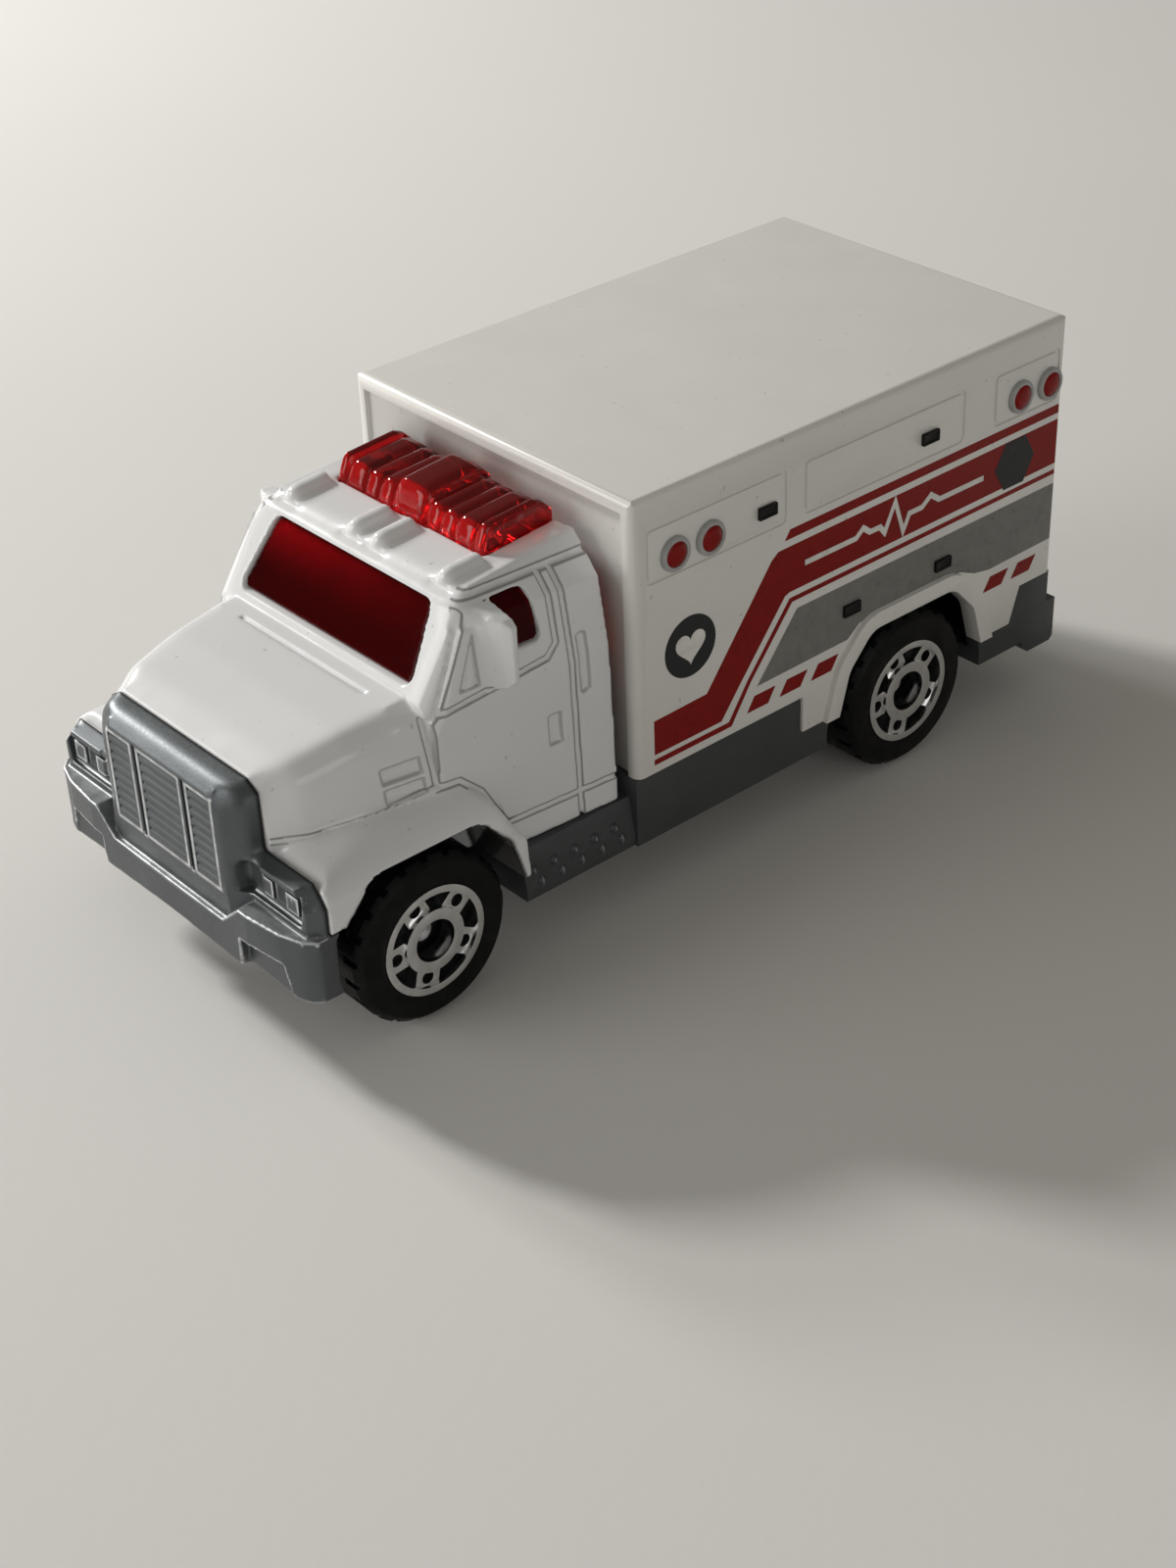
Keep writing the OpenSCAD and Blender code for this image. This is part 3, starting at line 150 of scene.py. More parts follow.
LEDGE_FOOT, LEDGE_FACING, LEDGE_HIGHLIGHT = 8.2, (0.6, 0.9), 0.4
WEAR_AND_HIGHLIGHT, WEAR_AND_HIGHLIGHT_REACH, WEAR_AND_HIGHLIGHT_SPREAD = (0.04, 0.14), 0.25, 0.8
# Where the moulding gets a painted shade, in behind the cab's front edge
JOINT_SHADE_RIM = ((ALONG, -33.55, -33.35), (HEIGHT, 10.4, 10.8))

# Stripes on the box side, in millimetres: along the vehicle and above the ground
BAND = [
    (-5.95, 11.62), (-5.95, 14.28), (-1.1, 14.4), (5.0, 22.25), (5.65, 22.72), (34.45, 22.95),
    (34.45, 19.38), (6.75, 19.2), (6.3, 19.05), (2.1, 13.95), (0.25, 11.62),
]
BAND_UNDERLINE = [
    (-5.98, 10.82), (-5.98, 11.25), (0.95, 11.25), (2.75, 13.85), (6.75, 18.72), (34.45, 18.88),
    (34.45, 18.5), (7.0, 18.35), (3.05, 13.6), (1.2, 10.82),
]
BAND_OVERLINE = [(6.25, 23.3), (6.75, 24.02), (34.45, 24.15), (34.45, 23.45)]
GREY_PANEL = [
    (3.65, 13.0), (7.5, 17.67), (34.45, 17.72), (34.45, 13.1), (27.6, 13.0), (26.0, 13.3), (24.4, 14.0),
    (13.8, 14.0), (12.6, 13.1),
]
DASH = [(0.0, 11.2), (0.72, 12.32), (2.75, 12.32), (2.05, 11.2)]
DASH_STARTS = (2.68, 5.85, 8.95, 27.1, 30.2)
PULSE = [
    (8.2, 20.95), (13.2, 20.95), (13.9, 21.5), (14.6, 20.95), (15.6, 20.95), (16.1, 20.35), (17.1, 22.4),
    (18.0, 19.75), (18.6, 20.95), (19.9, 20.95), (20.8, 21.6), (21.7, 20.95), (26.4, 20.95),
]
ROUNDEL_AT = (-2.55, 18.75)
ROUNDEL_R = 2.3
BADGE_AT = (29.8, 21.0)
BADGE_R = 2.15
LAMP_PLACES = ((-3.85, 26.2), (-0.7, 26.2), (29.95, 26.2), (33.1, 26.2))
LATCH_PLACES = ((4.5, 26.25), (20.4, 26.25), (12.85, 15.55), (22.3, 15.55))
LATCH_SIZE = (1.65, 0.9, 0.3)
BOX_SIDE, LAMP_FOOT = 14.5, 14.9
PULSE_WIDTH, HEART_SIZE = 0.42, 1.35

# Studs on the running boards, in millimetres: across, start, pitch, height and half length of each row
STUD_ROWS = ((13.79, -16.34, 1.8, 6.9, 0.26), (13.99, -15.83, 1.77, 5.95, 0.4))
STUDS, STUD_DEPTH, STUD_HALF = 5, 0.32, 0.13

# Lamps, in metres: name, place, size and share of the key light's power
LAMPS = (
    ("key", (-0.548, -0.143, 0.333), 0.075, 1.0),
    ("low_key", (-0.588, -0.075, 0.272), 0.09, 0.44),
    ("front", (-0.36, -0.77, 0.26), 0.6, 1.0),
    ("side", (0.72, -0.16, 0.26), 0.5, 0.24),
)
LAMP_WHITE, SKY_WHITE = (1.0, 0.985, 0.96), (1.0, 0.955, 0.85, 1.0)
FLOOR_REACH, CLIP_START, CLIP_END = 3.0, 0.005, 20.0


# Settings

def number(label, note, default, **more):
    """A number setting."""
    return bpy.props.FloatProperty(name=label, description=note, default=default, **more)


def length(label, note, default, least=0.0):
    """A length setting, given in millimetres."""
    return number(label, note, default * MM, min=least * MM, unit="LENGTH", precision=6)


def tint(label, note, default):
    """A colour setting."""
    return bpy.props.FloatVectorProperty(name=label, description=note, subtype="COLOR", default=default)


class AmbulanceShape(bpy.types.PropertyGroup):
    """Sizes of the finish that the solids leave to the looks"""

    paint_edge: length("Paint edge", "Grain of the cab's softened edges under its paint", 0.13, 0.05)
    mould_edge: length("Mould edge", "Grain of the softened edges of the plastic mouldings", 0.075, 0.05)
    line_depth: length("Crease height", "Height of the cast bead over the front mudguards", 0.15)
    line_width: length("Crease width", "Half width of the cast bead over the front mudguards", 0.2, 0.02)
    print_lift: length("Print lift", "Thickness of the printed stripes", 0.015, 0.001)


class AmbulanceFinish(bpy.types.PropertyGroup):
    """Colours of the pieces"""

    cab_white: tint("Cab white", "Enamel of the cab", (0.78, 0.79, 0.8))
    box_white: tint("Box white", "Plastic of the box", (0.79, 0.78, 0.75))
    moulding_grey: tint("Moulding grey", "Grille, bumper and base", (0.108, 0.119, 0.126))
    clear_red: tint("Clear red", "Windows", (0.62, 0.004, 0.01))
    bar_red: tint("Bar red", "Light bar", (0.97, 0.007, 0.009))
    stripe_red: tint("Stripe red", "Printed stripes", (0.24, 0.0075, 0.006))
    stripe_grey: tint("Stripe grey", "Printed lower panel", (0.22, 0.217, 0.205))
    tyre_black: tint("Tyre black", "Wheels", (0.004, 0.004, 0.0043))
    bright_plating: tint("Bright plating", "Wheel inserts", (0.9, 0.9, 0.91))


class AmbulanceStage(bpy.types.PropertyGroup):
    """Camera, light and floor"""

    azimuth: number("Azimuth", "Camera's turn round the toy", math.radians(50.14), subtype="ANGLE")
    elevation: number("Elevation", "Camera's height over the horizon", math.radians(33.14), subtype="ANGLE")
    roll: number("Roll", "Camera's roll", math.radians(-2.39), subtype="ANGLE")
    distance: length("Distance", "Camera to its target", 189.97)
    target: bpy.props.FloatVectorProperty(
        name="Target", description="Point that the camera looks at", subtype="TRANSLATION",
        default=(0.0, 0.2 * MM, -0.29 * MM))
    focal_px: number("Focal length", "In pixels of the upright picture", 2589.0)
    floor_white: tint("Floor", "Paper under the toy", (0.745, 0.735, 0.717))
    key_power: number("Key light", "Power of the nearer lamp", 2.72, unit="POWER")
    fill: number("Fill light", "Strength of the surrounding light", 0.195)


# Meshes

def place(mesh, name):
    """A new object for a mesh, at the origin."""
    obj = bpy.data.objects.new(name, mesh)
    bpy.context.scene.collection.objects.link(obj)
    return obj


def opened(mesh):
    """A mesh opened for editing."""
    shape = bmesh.new()
    shape.from_mesh(mesh)
    return shape


def closed(shape, mesh):
    """Writes an edited shape to a mesh."""
    shape.to_mesh(mesh)
    shape.free()
    return mesh


def bake(obj):
    """Turns an object's modifiers into plain mesh."""
    bpy.context.view_layer.update()
    graph = bpy.context.evaluated_depsgraph_get()
    mesh = bpy.data.meshes.new_from_object(obj.evaluated_get(graph))
    obj.modifiers.clear()
    old = obj.data
    obj.data = mesh
    bpy.data.meshes.remove(old)
    return obj


def cad_copy(node, name):
    """A copy of a solid's mesh with its loose triangles joined."""
    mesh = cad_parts[node].data.copy()
    mesh.materials.clear()
    for layer in list(mesh.attributes):
        if layer.name in {"custom_normal", "sharp_edge", "sharp_face"}:
            mesh.attributes.remove(layer)
    shape = opened(mesh)
    bmesh.ops.remove_doubles(shape, verts=shape.verts, dist=0.0005 * MM)
    return place(closed(shape, mesh), name)


def soften(obj, voxel, rounds):
    """Rounds every edge of a closed shape by about the size of a voxel."""
    remesh = obj.modifiers.new("Grain", "REMESH")
    remesh.mode = "VOXEL"
    remesh.voxel_size = voxel
    smooth = obj.modifiers.new("Soften", "SMOOTH")
    smooth.factor = 0.5
    smooth.iterations = rounds
    return bake(obj)


def relax(obj, weights, rounds, factor=0.5):
    """Rounds the facets of a softened shape where its weights allow."""
    group = obj.vertex_groups.new(name="relax")
    levels = np.round(weights * WEIGHT_LEVELS).astype(int)
    for level in range(1, WEIGHT_LEVELS + 1):
        group.add(np.flatnonzero(levels == level).tolist(), level / WEIGHT_LEVELS, "REPLACE")
    smooth = obj.modifiers.new("Relax", "SMOOTH")
    smooth.factor = factor
    smooth.iterations = rounds
    smooth.vertex_group = "relax"
    bake(obj)
    obj.vertex_groups.clear()


def thin(obj, most):
    """Keeps a mesh under a number of triangles."""
    obj.data.calc_loop_triangles()
    count = len(obj.data.loop_triangles)
    if count > most:
        decimate = obj.modifiers.new("Thin", "DECIMATE")
        decimate.ratio = most / count
        bake(obj)


def crisp(obj, width, segments=2):
    """Bevels the hard edges of a mesh that keeps its flats, by a width in millimetres."""
    shape = opened(obj.data)
    bmesh.ops.dissolve_limit(
        shape, angle_limit=math.radians(0.6), verts=shape.verts, edges=shape.edges, delimit={"NORMAL"})
    closed(shape, obj.data)
    bevel = obj.modifiers.new("Edges", "BEVEL")
    bevel.width = width * MM
    bevel.segments = segments
    bevel.limit_method = "ANGLE"
    bevel.angle_limit = math.radians(32.0)
    return smooth_shade(bake(obj), 35.0)


def smooth_shade(obj, degrees):
    """Smooth shading that stays sharp over real corners."""
    obj.data.shade_smooth()
    obj.data.set_sharp_from_angle(angle=math.radians(degrees))
    return obj


def turns(count):
    """Even steps of a full turn."""
    return [2.0 * math.pi * k / count for k in range(count)]


def lathe(profile, name):
    """Revolves an open (radius, place) profile, in millimetres, round X."""
    shape = bmesh.new()
    rings = [
        [shape.verts.new((x * MM, r * MM * math.cos(turn), r * MM * math.sin(turn))) for r, x in profile]
        for turn in turns(LAMP_STEPS)]
    for here, there in zip(rings, rings[1:] + rings[:1]):
        for i in range(len(profile) - 1):
            shape.faces.new((here[i], here[i + 1], there[i + 1], there[i]))
    bmesh.ops.remove_doubles(shape, verts=shape.verts, dist=0.0002 * MM)
    bmesh.ops.holes_fill(shape, edges=shape.edges)
    bmesh.ops.recalc_face_normals(shape, faces=shape.faces)
    return closed(shape, bpy.data.meshes.new(name))


def pad(size, name):
    """A latch pad on the box side: bevelled, with a sunk grip, its back at X = 0."""
    run, height, depth = (side * MM for side in size)
    rim, slope, sink, corner, sharp = 0.22, 0.06, 0.45, 0.2, 1.2
    shape = bmesh.new()
    scale = Matrix.Diagonal((depth, run, height, 1.0))
    bmesh.ops.create_cube(shape, size=1.0, matrix=Matrix.Translation((depth / 2.0, 0.0, 0.0)) @ scale)
    bmesh.ops.recalc_face_normals(shape, faces=shape.faces)
    face = max(shape.faces, key=lambda f: f.calc_center_median().x)
    bmesh.ops.inset_region(shape, faces=[face], thickness=height * rim, depth=0.0)
    bmesh.ops.inset_region(shape, faces=[face], thickness=height * slope, depth=-depth * sink)
    edges = [e for e in shape.edges if e.is_manifold and e.calc_face_angle(0.0) > sharp]
    bmesh.ops.bevel(shape, geom=edges, offset=depth * corner, segments=2, affect="EDGES", profile=0.5)
    return closed(shape, bpy.data.meshes.new(name))


def bead(half_sizes, name):
    """A small rounded stud, its middle at the origin, with half sizes in millimetres."""
    shape = bmesh.new()
    scale = Matrix.Diagonal((*(half * MM for half in half_sizes), 1.0))
    bmesh.ops.create_uvsphere(shape, u_segments=12, v_segments=8, radius=1.0, matrix=scale)
    return closed(shape, bpy.data.meshes.new(name))


def prism(outline, start, depth, name):
    """A plate along X, from a start and a depth in metres and an outline of (Y, Z) places in millimetres."""
    shape = bmesh.new()
    face = shape.faces.new([shape.verts.new((start, y * MM, z * MM)) for y, z in outline])
    grown = bmesh.ops.extrude_face_region(shape, geom=[face])
    front = [v for v in grown["geom"] if isinstance(v, bmesh.types.BMVert)]
    bmesh.ops.translate(shape, verts=front, vec=(depth, 0.0, 0.0))
    bmesh.ops.recalc_face_normals(shape, faces=shape.faces)
    bmesh.ops.triangulate(shape, faces=[f for f in shape.faces if len(f.verts) > 4])
    return closed(shape, bpy.data.meshes.new(name))


def stroke(line, width):
    """Outline of a line drawn with a pen of a given width, mitred at its corners."""
    points = [Vector(p) for p in line]
    left, right = [], []
    for i, point in enumerate(points):
        before = (point - points[i - 1]).normalized() if i else None
        after = (points[i + 1] - point).normalized() if i + 1 < len(points) else None
        lead = before or after
        trail = after or before
        normal = Vector((-(lead + trail).y, (lead + trail).x)).normalized()
        reach = width / 2.0 / max(normal.dot(Vector((-lead.y, lead.x))), MITRE)
        left.append(point + normal * reach)
        right.append(point - normal * reach)
    return [tuple(p) for p in left + right[::-1]]


def joined(meshes, name):
    """One object from several meshes."""
    shape = bmesh.new()
    for mesh in meshes:
        shape.from_mesh(mesh)
    return place(closed(shape, bpy.data.meshes.new(name)), name)


# Measures on vertices

def coordinates(obj):
    """Places in metres and normals of an object's vertices."""
    points, normals = np.empty((2, len(obj.data.vertices) * 3))
    obj.data.vertices.foreach_get("co", points)
    obj.data.vertex_normals.foreach_get("vector", normals)
    return points.reshape(-1, 3), normals.reshape(-1, 3)


def set_points(obj, points):
    """Moves an object's vertices to places in metres."""
    obj.data.vertices.foreach_set("co", points.ravel())
    obj.data.update()


def add_values(obj, name, numbers):
    """Keeps one number for each vertex as a named attribute."""
    layer = obj.data.attributes.new(name, "FLOAT", "POINT")
    layer.data.foreach_set("value", numbers)


def folded(points):
    """Places in millimetres, with both sides of the toy laid over each other."""
    places = points / MM
    places[:, ACROSS] = np.abs(places[:, ACROSS])
    return places


def ramp(values, start, end):
    """0 before a start, 1 past an end, and even between; a start past the end turns it round."""
    return np.clip((values - start) / (end - start), 0.0, 1.0)


def region(places, ranges):
    """Product of the ramps over each (axis, start, end)."""
    return np.prod([ramp(places[:, axis], start, end) for axis, start, end in ranges], axis=0)


def cab_half(along, height):
    """Half width of the cab's skin, in millimetres."""
    share = ramp(along, CAB_FRONT, CAB_REAR)
    return np.interp(height, *zip(*CAB_HALF_WIDTHS)) * (CAB_TAPER + (1.0 - CAB_TAPER) * share)


def bonnet_half(along):
    """Half width of the bonnet, in millimetres."""
    return np.interp(along, *zip(*BONNET_HALF_WIDTHS))


def line_distance(points, line):
    """Distance in the side view, in metres, from each point to a line of places."""
    flat = points[:, 1:3]
    nearest = np.full(len(points), 1.0)
    for start, end in zip(line[:-1], line[1:]):
        a = np.array(start) * MM
        run = np.array(end) * MM - a
        along = np.clip(((flat - a) @ run) / (run @ run), 0.0, 1.0)
        nearest = np.minimum(nearest, np.linalg.norm(flat - a - along[:, None] * run, axis=1))
    return nearest


def edge_wear_and_highlight(obj):
    """How far each vertex stands proud of its neighbours, from 0 on flats to 1 on sharp edges."""
    points, normals = coordinates(obj)
    ends = np.empty(len(obj.data.edges) * 2, np.int32)
    obj.data.edges.foreach_get("vertices", ends)
    ends = ends.reshape(-1, 2)
    count = np.bincount(ends.ravel(), minlength=len(points))
    proud = np.zeros(len(points))
    for here, there in (ends.T, ends.T[::-1]):
        step = points[here] - points[there]
        gaps = np.linalg.norm(step, axis=1)
        rise = (step * normals[here]).sum(axis=1) / np.maximum(gaps, 1e-9)
        proud += np.bincount(here, rise, minlength=len(points))
    sharp = ramp(proud / np.maximum(count, 1), *WEAR_AND_HIGHLIGHT)
    near = ends[gaps < WEAR_AND_HIGHLIGHT_REACH * MM].T
    wide = sharp.copy()
    for here, there in (near, near[::-1]):
        np.maximum.at(wide, here, sharp[there] * WEAR_AND_HIGHLIGHT_SPREAD)
    return wide


def past(values, low, high):
    """Distance past the ends of a range, below 0 between them."""
    return np.abs(values - (low + high) / 2.0) - (high - low) / 2.0


def frame_line(across, height, sides):
    """1 on the outline of an upright rectangle in the front view, 0 away from it."""
    aside, above = past(across, *sides[0]), past(height, *sides[1])
    outside = (aside > 0.0) & (above > 0.0)
    gap = np.where(outside, np.hypot(aside, above), np.abs(np.maximum(aside, above)))
    return ramp(gap, FRAME_HALF * 1.6, FRAME_HALF * 0.6)


def rounded_depth(aside, above, radius):
    """How far inside a rounded opening each place lies, up to its corner radius."""
    return radius - np.hypot(np.maximum(aside + radius, 0.0), np.maximum(above + radius, 0.0))


# Geometry Nodes

def row_tree(name, material):
    """Copies a shape to the corners of a small cloud of places."""
    tree = bpy.data.node_groups.new(name, "GeometryNodeTree")
    for label, way, kind in (
        ("Geometry", "INPUT", "Geometry"), ("Shape", "INPUT", "Object"), ("Turn", "INPUT", "Rotation"),
        ("Geometry", "OUTPUT", "Geometry"),
    ):
        tree.interface.new_socket(label, in_out=way, socket_type="NodeSocket" + kind)
    start, end = (tree.nodes.new("NodeGroup" + kind) for kind in ("Input", "Output"))
    shape, copies, real, paint = (
        tree.nodes.new("GeometryNode" + kind)
        for kind in ("ObjectInfo", "InstanceOnPoints", "RealizeInstances", "SetMaterial"))
    paint.inputs["Material"].default_value = material
    for source, output, target, socket in (
        (start, "Shape", shape, "Object"), (start, "Geometry", copies, "Points"),
        (shape, "Geometry", copies, "Instance"), (start, "Turn", copies, "Rotation"),
        (copies, 0, real, 0), (real, 0, paint, "Geometry"), (paint, 0, end, 0),
    ):
        tree.links.new(source.outputs[output], target.inputs[socket])
    return tree


def copies_at(places, mesh, material, name):
    """Copies of a shape at places, in millimetres, on both sides of the toy, as one object."""
    tree = row_tree(name + "_rows", material)
    sockets = {item.name: item.identifier for item in tree.interface.items_tree if item.in_out == "INPUT"}
    shape = place(mesh, name + "_one")
    halves = []
    for side, turn in ((1.0, 0.0), (-1.0, math.pi)):
        cloud = bpy.data.meshes.new(name)
        cloud.from_pydata([(side * x * MM, y * MM, z * MM) for x, y, z in places], [], [])
        half = place(cloud, name + "_half")
        modifier = half.modifiers.new(name, "NODES")
        modifier.node_group = tree
        modifier[sockets["Shape"]] = shape
        modifier[sockets["Turn"]] = (0.0, 0.0, turn)
        halves.append(bake(half).data)
        bpy.data.objects.remove(half)
    bpy.data.objects.remove(shape)
    return joined(halves, name)


# Materials

def tinted(colour, factor):
    """A colour made darker or lighter."""
    return tuple(c * factor for c in colour)


class Skin:
    """A material being made: nodes on object coordinates that end in one shader."""

    def __init__(self, name):
        self.material = bpy.data.materials.new(name)
        self.material.use_nodes = True
        self.tree = self.material.node_tree
        self.shader = self.tree.nodes["Principled BSDF"]
        self.coords = self.add("TexCoord", {})["Object"]

    def feed(self, node, inputs):
        """Sets a node's inputs, each to a constant or to another node's output."""
        for name, value in inputs.items():
            if isinstance(value, bpy.types.NodeSocket):
                self.tree.links.new(value, node.inputs[name])
            else:
                node.inputs[name].default_value = value

    def add(self, kind, inputs, **settings):
        """Outputs of a new node with its settings and inputs."""
        node = self.tree.nodes.new("ShaderNode" + kind)
        for name, value in settings.items():
            setattr(node, name, value)
        self.feed(node, inputs)
        return node.outputs

    def grain(self, scale, detail=3.0, roughness=0.55):
        """Noise whose cells are about 1 / scale metres across."""
        inputs = {"Vector": self.coords, "Scale": scale, "Detail": detail, "Roughness": roughness}
        return self.add("TexNoise", inputs)["Fac"]

    def spread(self, value, low=0.0, high=1.0, start=0.3, end=0.7):
        """Maps a value onto a range."""
        inputs = {"Value": value, "From Min": start, "From Max": end, "To Min": low, "To Max": high}
        return self.add("MapRange", inputs)["Result"]

    def attribute(self, name):
        """A number kept on the vertices."""
        return self.add("Attribute", {}, attribute_name=name)["Fac"]

    def times(self, first, second):
        """Product of two values."""
        return self.add("Math", {0: first, 1: second}, operation="MULTIPLY")[0]

    def blend(self, amount, first, second):
        """Mixes two colours, each a constant or a socket, by a value."""
        ends = [c if isinstance(c, bpy.types.NodeSocket) else (*c, 1.0) for c in (first, second)]
        return self.add("Mix", {"Factor": amount, "A": ends[0], "B": ends[1]}, data_type="RGBA")["Result"]

    def painted_line_shade(self, attribute, stops):
        """Painted shade at given distances, in millimetres, from the lines that an attribute measures: it stands
        in for the shadow in the cast panel lines.
        """
        levels = self.tree.nodes.new("ShaderNodeValToRGB")
        scale = levels.color_ramp
        scale.interpolation = "EASE"
        while len(scale.elements) < len(stops):
            scale.elements.new(1.0)
        for element, (at, level) in zip(scale.elements, stops):
            element.position = at
            element.color = (level, level, level, 1.0)
        self.feed(levels, {"Fac": self.attribute(attribute)})
        return self.times(levels.outputs["Color"], self.attribute("side"))

    def relief(self, height, strength, depth):
        """Bump of a given depth in millimetres."""
        inputs = {"Height": height, "Strength": strength, "Distance": depth * MM}
        self.feed(self.shader, {"Normal": self.add("Bump", inputs)["Normal"]})

    def shaded(self, inputs):
        """The material, with the shader's inputs set."""
        self.feed(self.shader, inputs)
        return self.material


def painted(name, colour, rough, lines=(), arch_shade=None):
    """Glossy enamel or smooth plastic, with painted shade in its lines and where an attribute asks for it, and a
    little dust.
    """
    skin = Skin(name)
    tone = skin.blend(skin.spread(skin.grain(160.0, 4.0)), tinted(colour, 0.965), colour)
    dust = skin.spread(skin.grain(1900.0, 2.0, 0.4), 0.0, 0.35, 0.735, 0.76)
    tone = skin.blend(dust, tone, tinted(colour, 0.35))
    # Painted shade: dark bands at the edges of the panel lines, where the grooves would lie in shadow
    for attribute, stops in lines:
        tone = skin.blend(skin.painted_line_shade(attribute, stops), tone, tinted(colour, 0.2))
    # Painted shade: near black where an attribute asks, on the cab the insides of the wheel arches that lie in
    # shadow
    if arch_shade:
        tone = skin.blend(skin.attribute(arch_shade), tone, tinted(colour, 0.06))
    skin.relief(skin.grain(380.0, 2.0), 0.12, 0.05)
    return skin.shaded({
        "Base Color": tone, "Roughness": skin.spread(skin.grain(420.0), *rough),
        "Coat Weight": 0.35, "Coat Roughness": 0.08})


def moulded(name, colour, metal=0.0, rough=(0.38, 0.5), worn=None):
    """Satin moulding with a fine spark-eroded grain, faint flow marks, edges made bright by wear and a painted
    highlight, and a painted shade at the joint.
    """
    skin = Skin(name)
    fine = skin.grain(5200.0, 2.0)
    tone = skin.blend(skin.spread(skin.grain(240.0, 5.0)), tinted(colour, 0.86), tinted(colour, 1.08))
    # Painted highlight: the worn colour brightens the edges, partly for wear and partly standing in for the light
    # that catches them
    if worn:
        wear_and_highlight = skin.times(skin.attribute("edge_wear_and_highlight"), skin.spread(skin.grain(1100.0, 4.0), 0.35, 1.0))
        tone = skin.blend(wear_and_highlight, tone, worn)
        # Painted shade: near black where the moulding runs in behind the cab, standing in for the shadow in the
        # gap
        tone = skin.blend(skin.attribute("joint_shade"), tone, tinted(colour, 0.05))
    skin.relief(fine, 0.2, 0.02)
    return skin.shaded({"Base Color": tone, "Roughness": skin.spread(fine, *rough), "Metallic": metal})


def plated(name, colour, rough=(0.1, 0.24)):
    """Bright metal with faint handling marks."""
    skin = Skin(name)
    marks = skin.grain(900.0, 5.0, 0.7)
    skin.relief(skin.grain(600.0, 2.0), 0.08, 0.02)
    return skin.shaded({
        "Base Color": skin.blend(skin.spread(marks), tinted(colour, 0.8), colour),
        "Roughness": skin.spread(marks, *rough), "Metallic": 1.0})


def clear_plastic(name, window, bar):
    """Clear plastic: dark windows below and a light bar above, with painted light on the places an attribute marks
    and painted shade on the rest.
    """
    skin = Skin(name)
    split = skin.add("SeparateXYZ", {"Vector": skin.coords})
    height = skin.spread(split["Z"], 0.0, 1.0, BAR_FOOT * MM, (BAR_FOOT + 0.5) * MM)
    # Painted light and shade: bright red where light is painted in, a darker copy of the red on the tops and the
    # lower glass
    painted_light = skin.attribute("painted_light")
    dark = skin.blend(height, tinted(window, 0.35), tinted(bar, 0.58))
    tone = skin.blend(painted_light, dark, skin.blend(height, window, bar))
    streak = skin.blend(skin.spread(skin.grain(300.0)), tone, dark)
    skin.relief(skin.grain(500.0, 2.0), 0.1, 0.03)
    return skin.shaded({
        "Base Color": skin.blend(painted_light, streak, tone),
        "Roughness": skin.spread(skin.grain(700.0), 0.03, 0.07),
        "Transmission Weight": skin.spread(painted_light, 0.86, 0.66, 0.0, 1.0),
        "IOR": skin.spread(height, 1.16, 1.4, 0.0, 1.0)})


def printed(name, colour, gloss=0.32):
    """Pad-printed ink with a slightly uneven lay-down."""
    skin = Skin(name)
    lay = skin.spread(skin.grain(1200.0, 4.0))
    skin.relief(lay, 0.08, 0.01)
    return skin.shaded({
        "Base Color": skin.blend(lay, tinted(colour, 0.88), tinted(colour, 1.08)),
        "Roughness": skin.spread(lay, gloss - 0.06, gloss + 0.08, 0.0, 1.0), "Specular IOR Level": 0.16})


def rolled(name, colour):
    """Hard black wheel plastic, a little worn where it rolls."""
    skin = Skin(name)
    worn = skin.spread(skin.grain(700.0, 5.0, 0.65), 0.0, 1.0, 0.45, 0.75)
    skin.relief(skin.grain(3000.0, 2.0), 0.12, 0.02)
    return skin.shaded({
        "Base Color": skin.blend(worn, colour, tinted(colour, 2.4)),
        "Roughness": skin.spread(skin.grain(1600.0), 0.36, 0.55), "Specular IOR Level": 0.14})


def dress(obj, material, body, slot, *nodes):
    """Gives a finished piece its material and body, and hides the solids that it stands for; the slot is not used.
    """
    obj.data.materials.clear()
    obj.data.materials.append(material)
    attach(obj, body)
    if nodes:
        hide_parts(*nodes)


# Pieces and their operators

def on_side(points, normals):
    """1 on the cab's outer side skin, 0 inside it and on the mirrors."""
    across, along, height = folded(points).T
    half, bonnet = cab_half(along, height), bonnet_half(along)
    cab = (across > half - SKIN_IN) & (across < half + SKIN_OUT) & (along > CAB_FRONT - SKIN_LEAD)
    front = (across > bonnet - BONNET_IN) & (across < bonnet + BONNET_OUT) & (along < CAB_FRONT)
    return np.where(front, ramp(np.abs(normals[:, 0]), *UPRIGHT), cab.astype(np.float64))


def cab_weights(points):
    """1 on the front mudguards, the bonnet and the brow, 0 at their edges and fittings."""
    places = folded(points)
    across, along, height = places.T
    bonnet = bonnet_half(along)
    reach = np.hypot(along - FRONT_AXLE[0], height - FRONT_AXLE[1])
    guard = ramp(across, bonnet - GUARD_IN, bonnet + GUARD_OUT) * ramp(reach, *GUARD_REACH)
    guard *= region(places, GUARD_RUN) * (height < GUARD_TOP)
    lid = region(places, BONNET_LID) * (across < bonnet + LID_OVER)
    lid *= ~((along > LOUVRE_FRONT) & (height < LOUVRE_TOP) & (across > LOUVRE_INNER))
    brow = region(places, BROW) * (across < BROW_HALF)
    temple = region(places, TEMPLE) * (across > TEMPLE_INNER) * (across < TEMPLE_OUTER)
    markers = np.any([np.abs(across - middle) < MARKER_HALF for middle in MARKERS], axis=0)
    markers &= along > MARKER_FRONT
    brow = np.where(markers, MARKER_SHARE * ramp(height, *MARKER_TOP), np.maximum(brow, temple))
    return np.max([guard, lid, brow], axis=0)


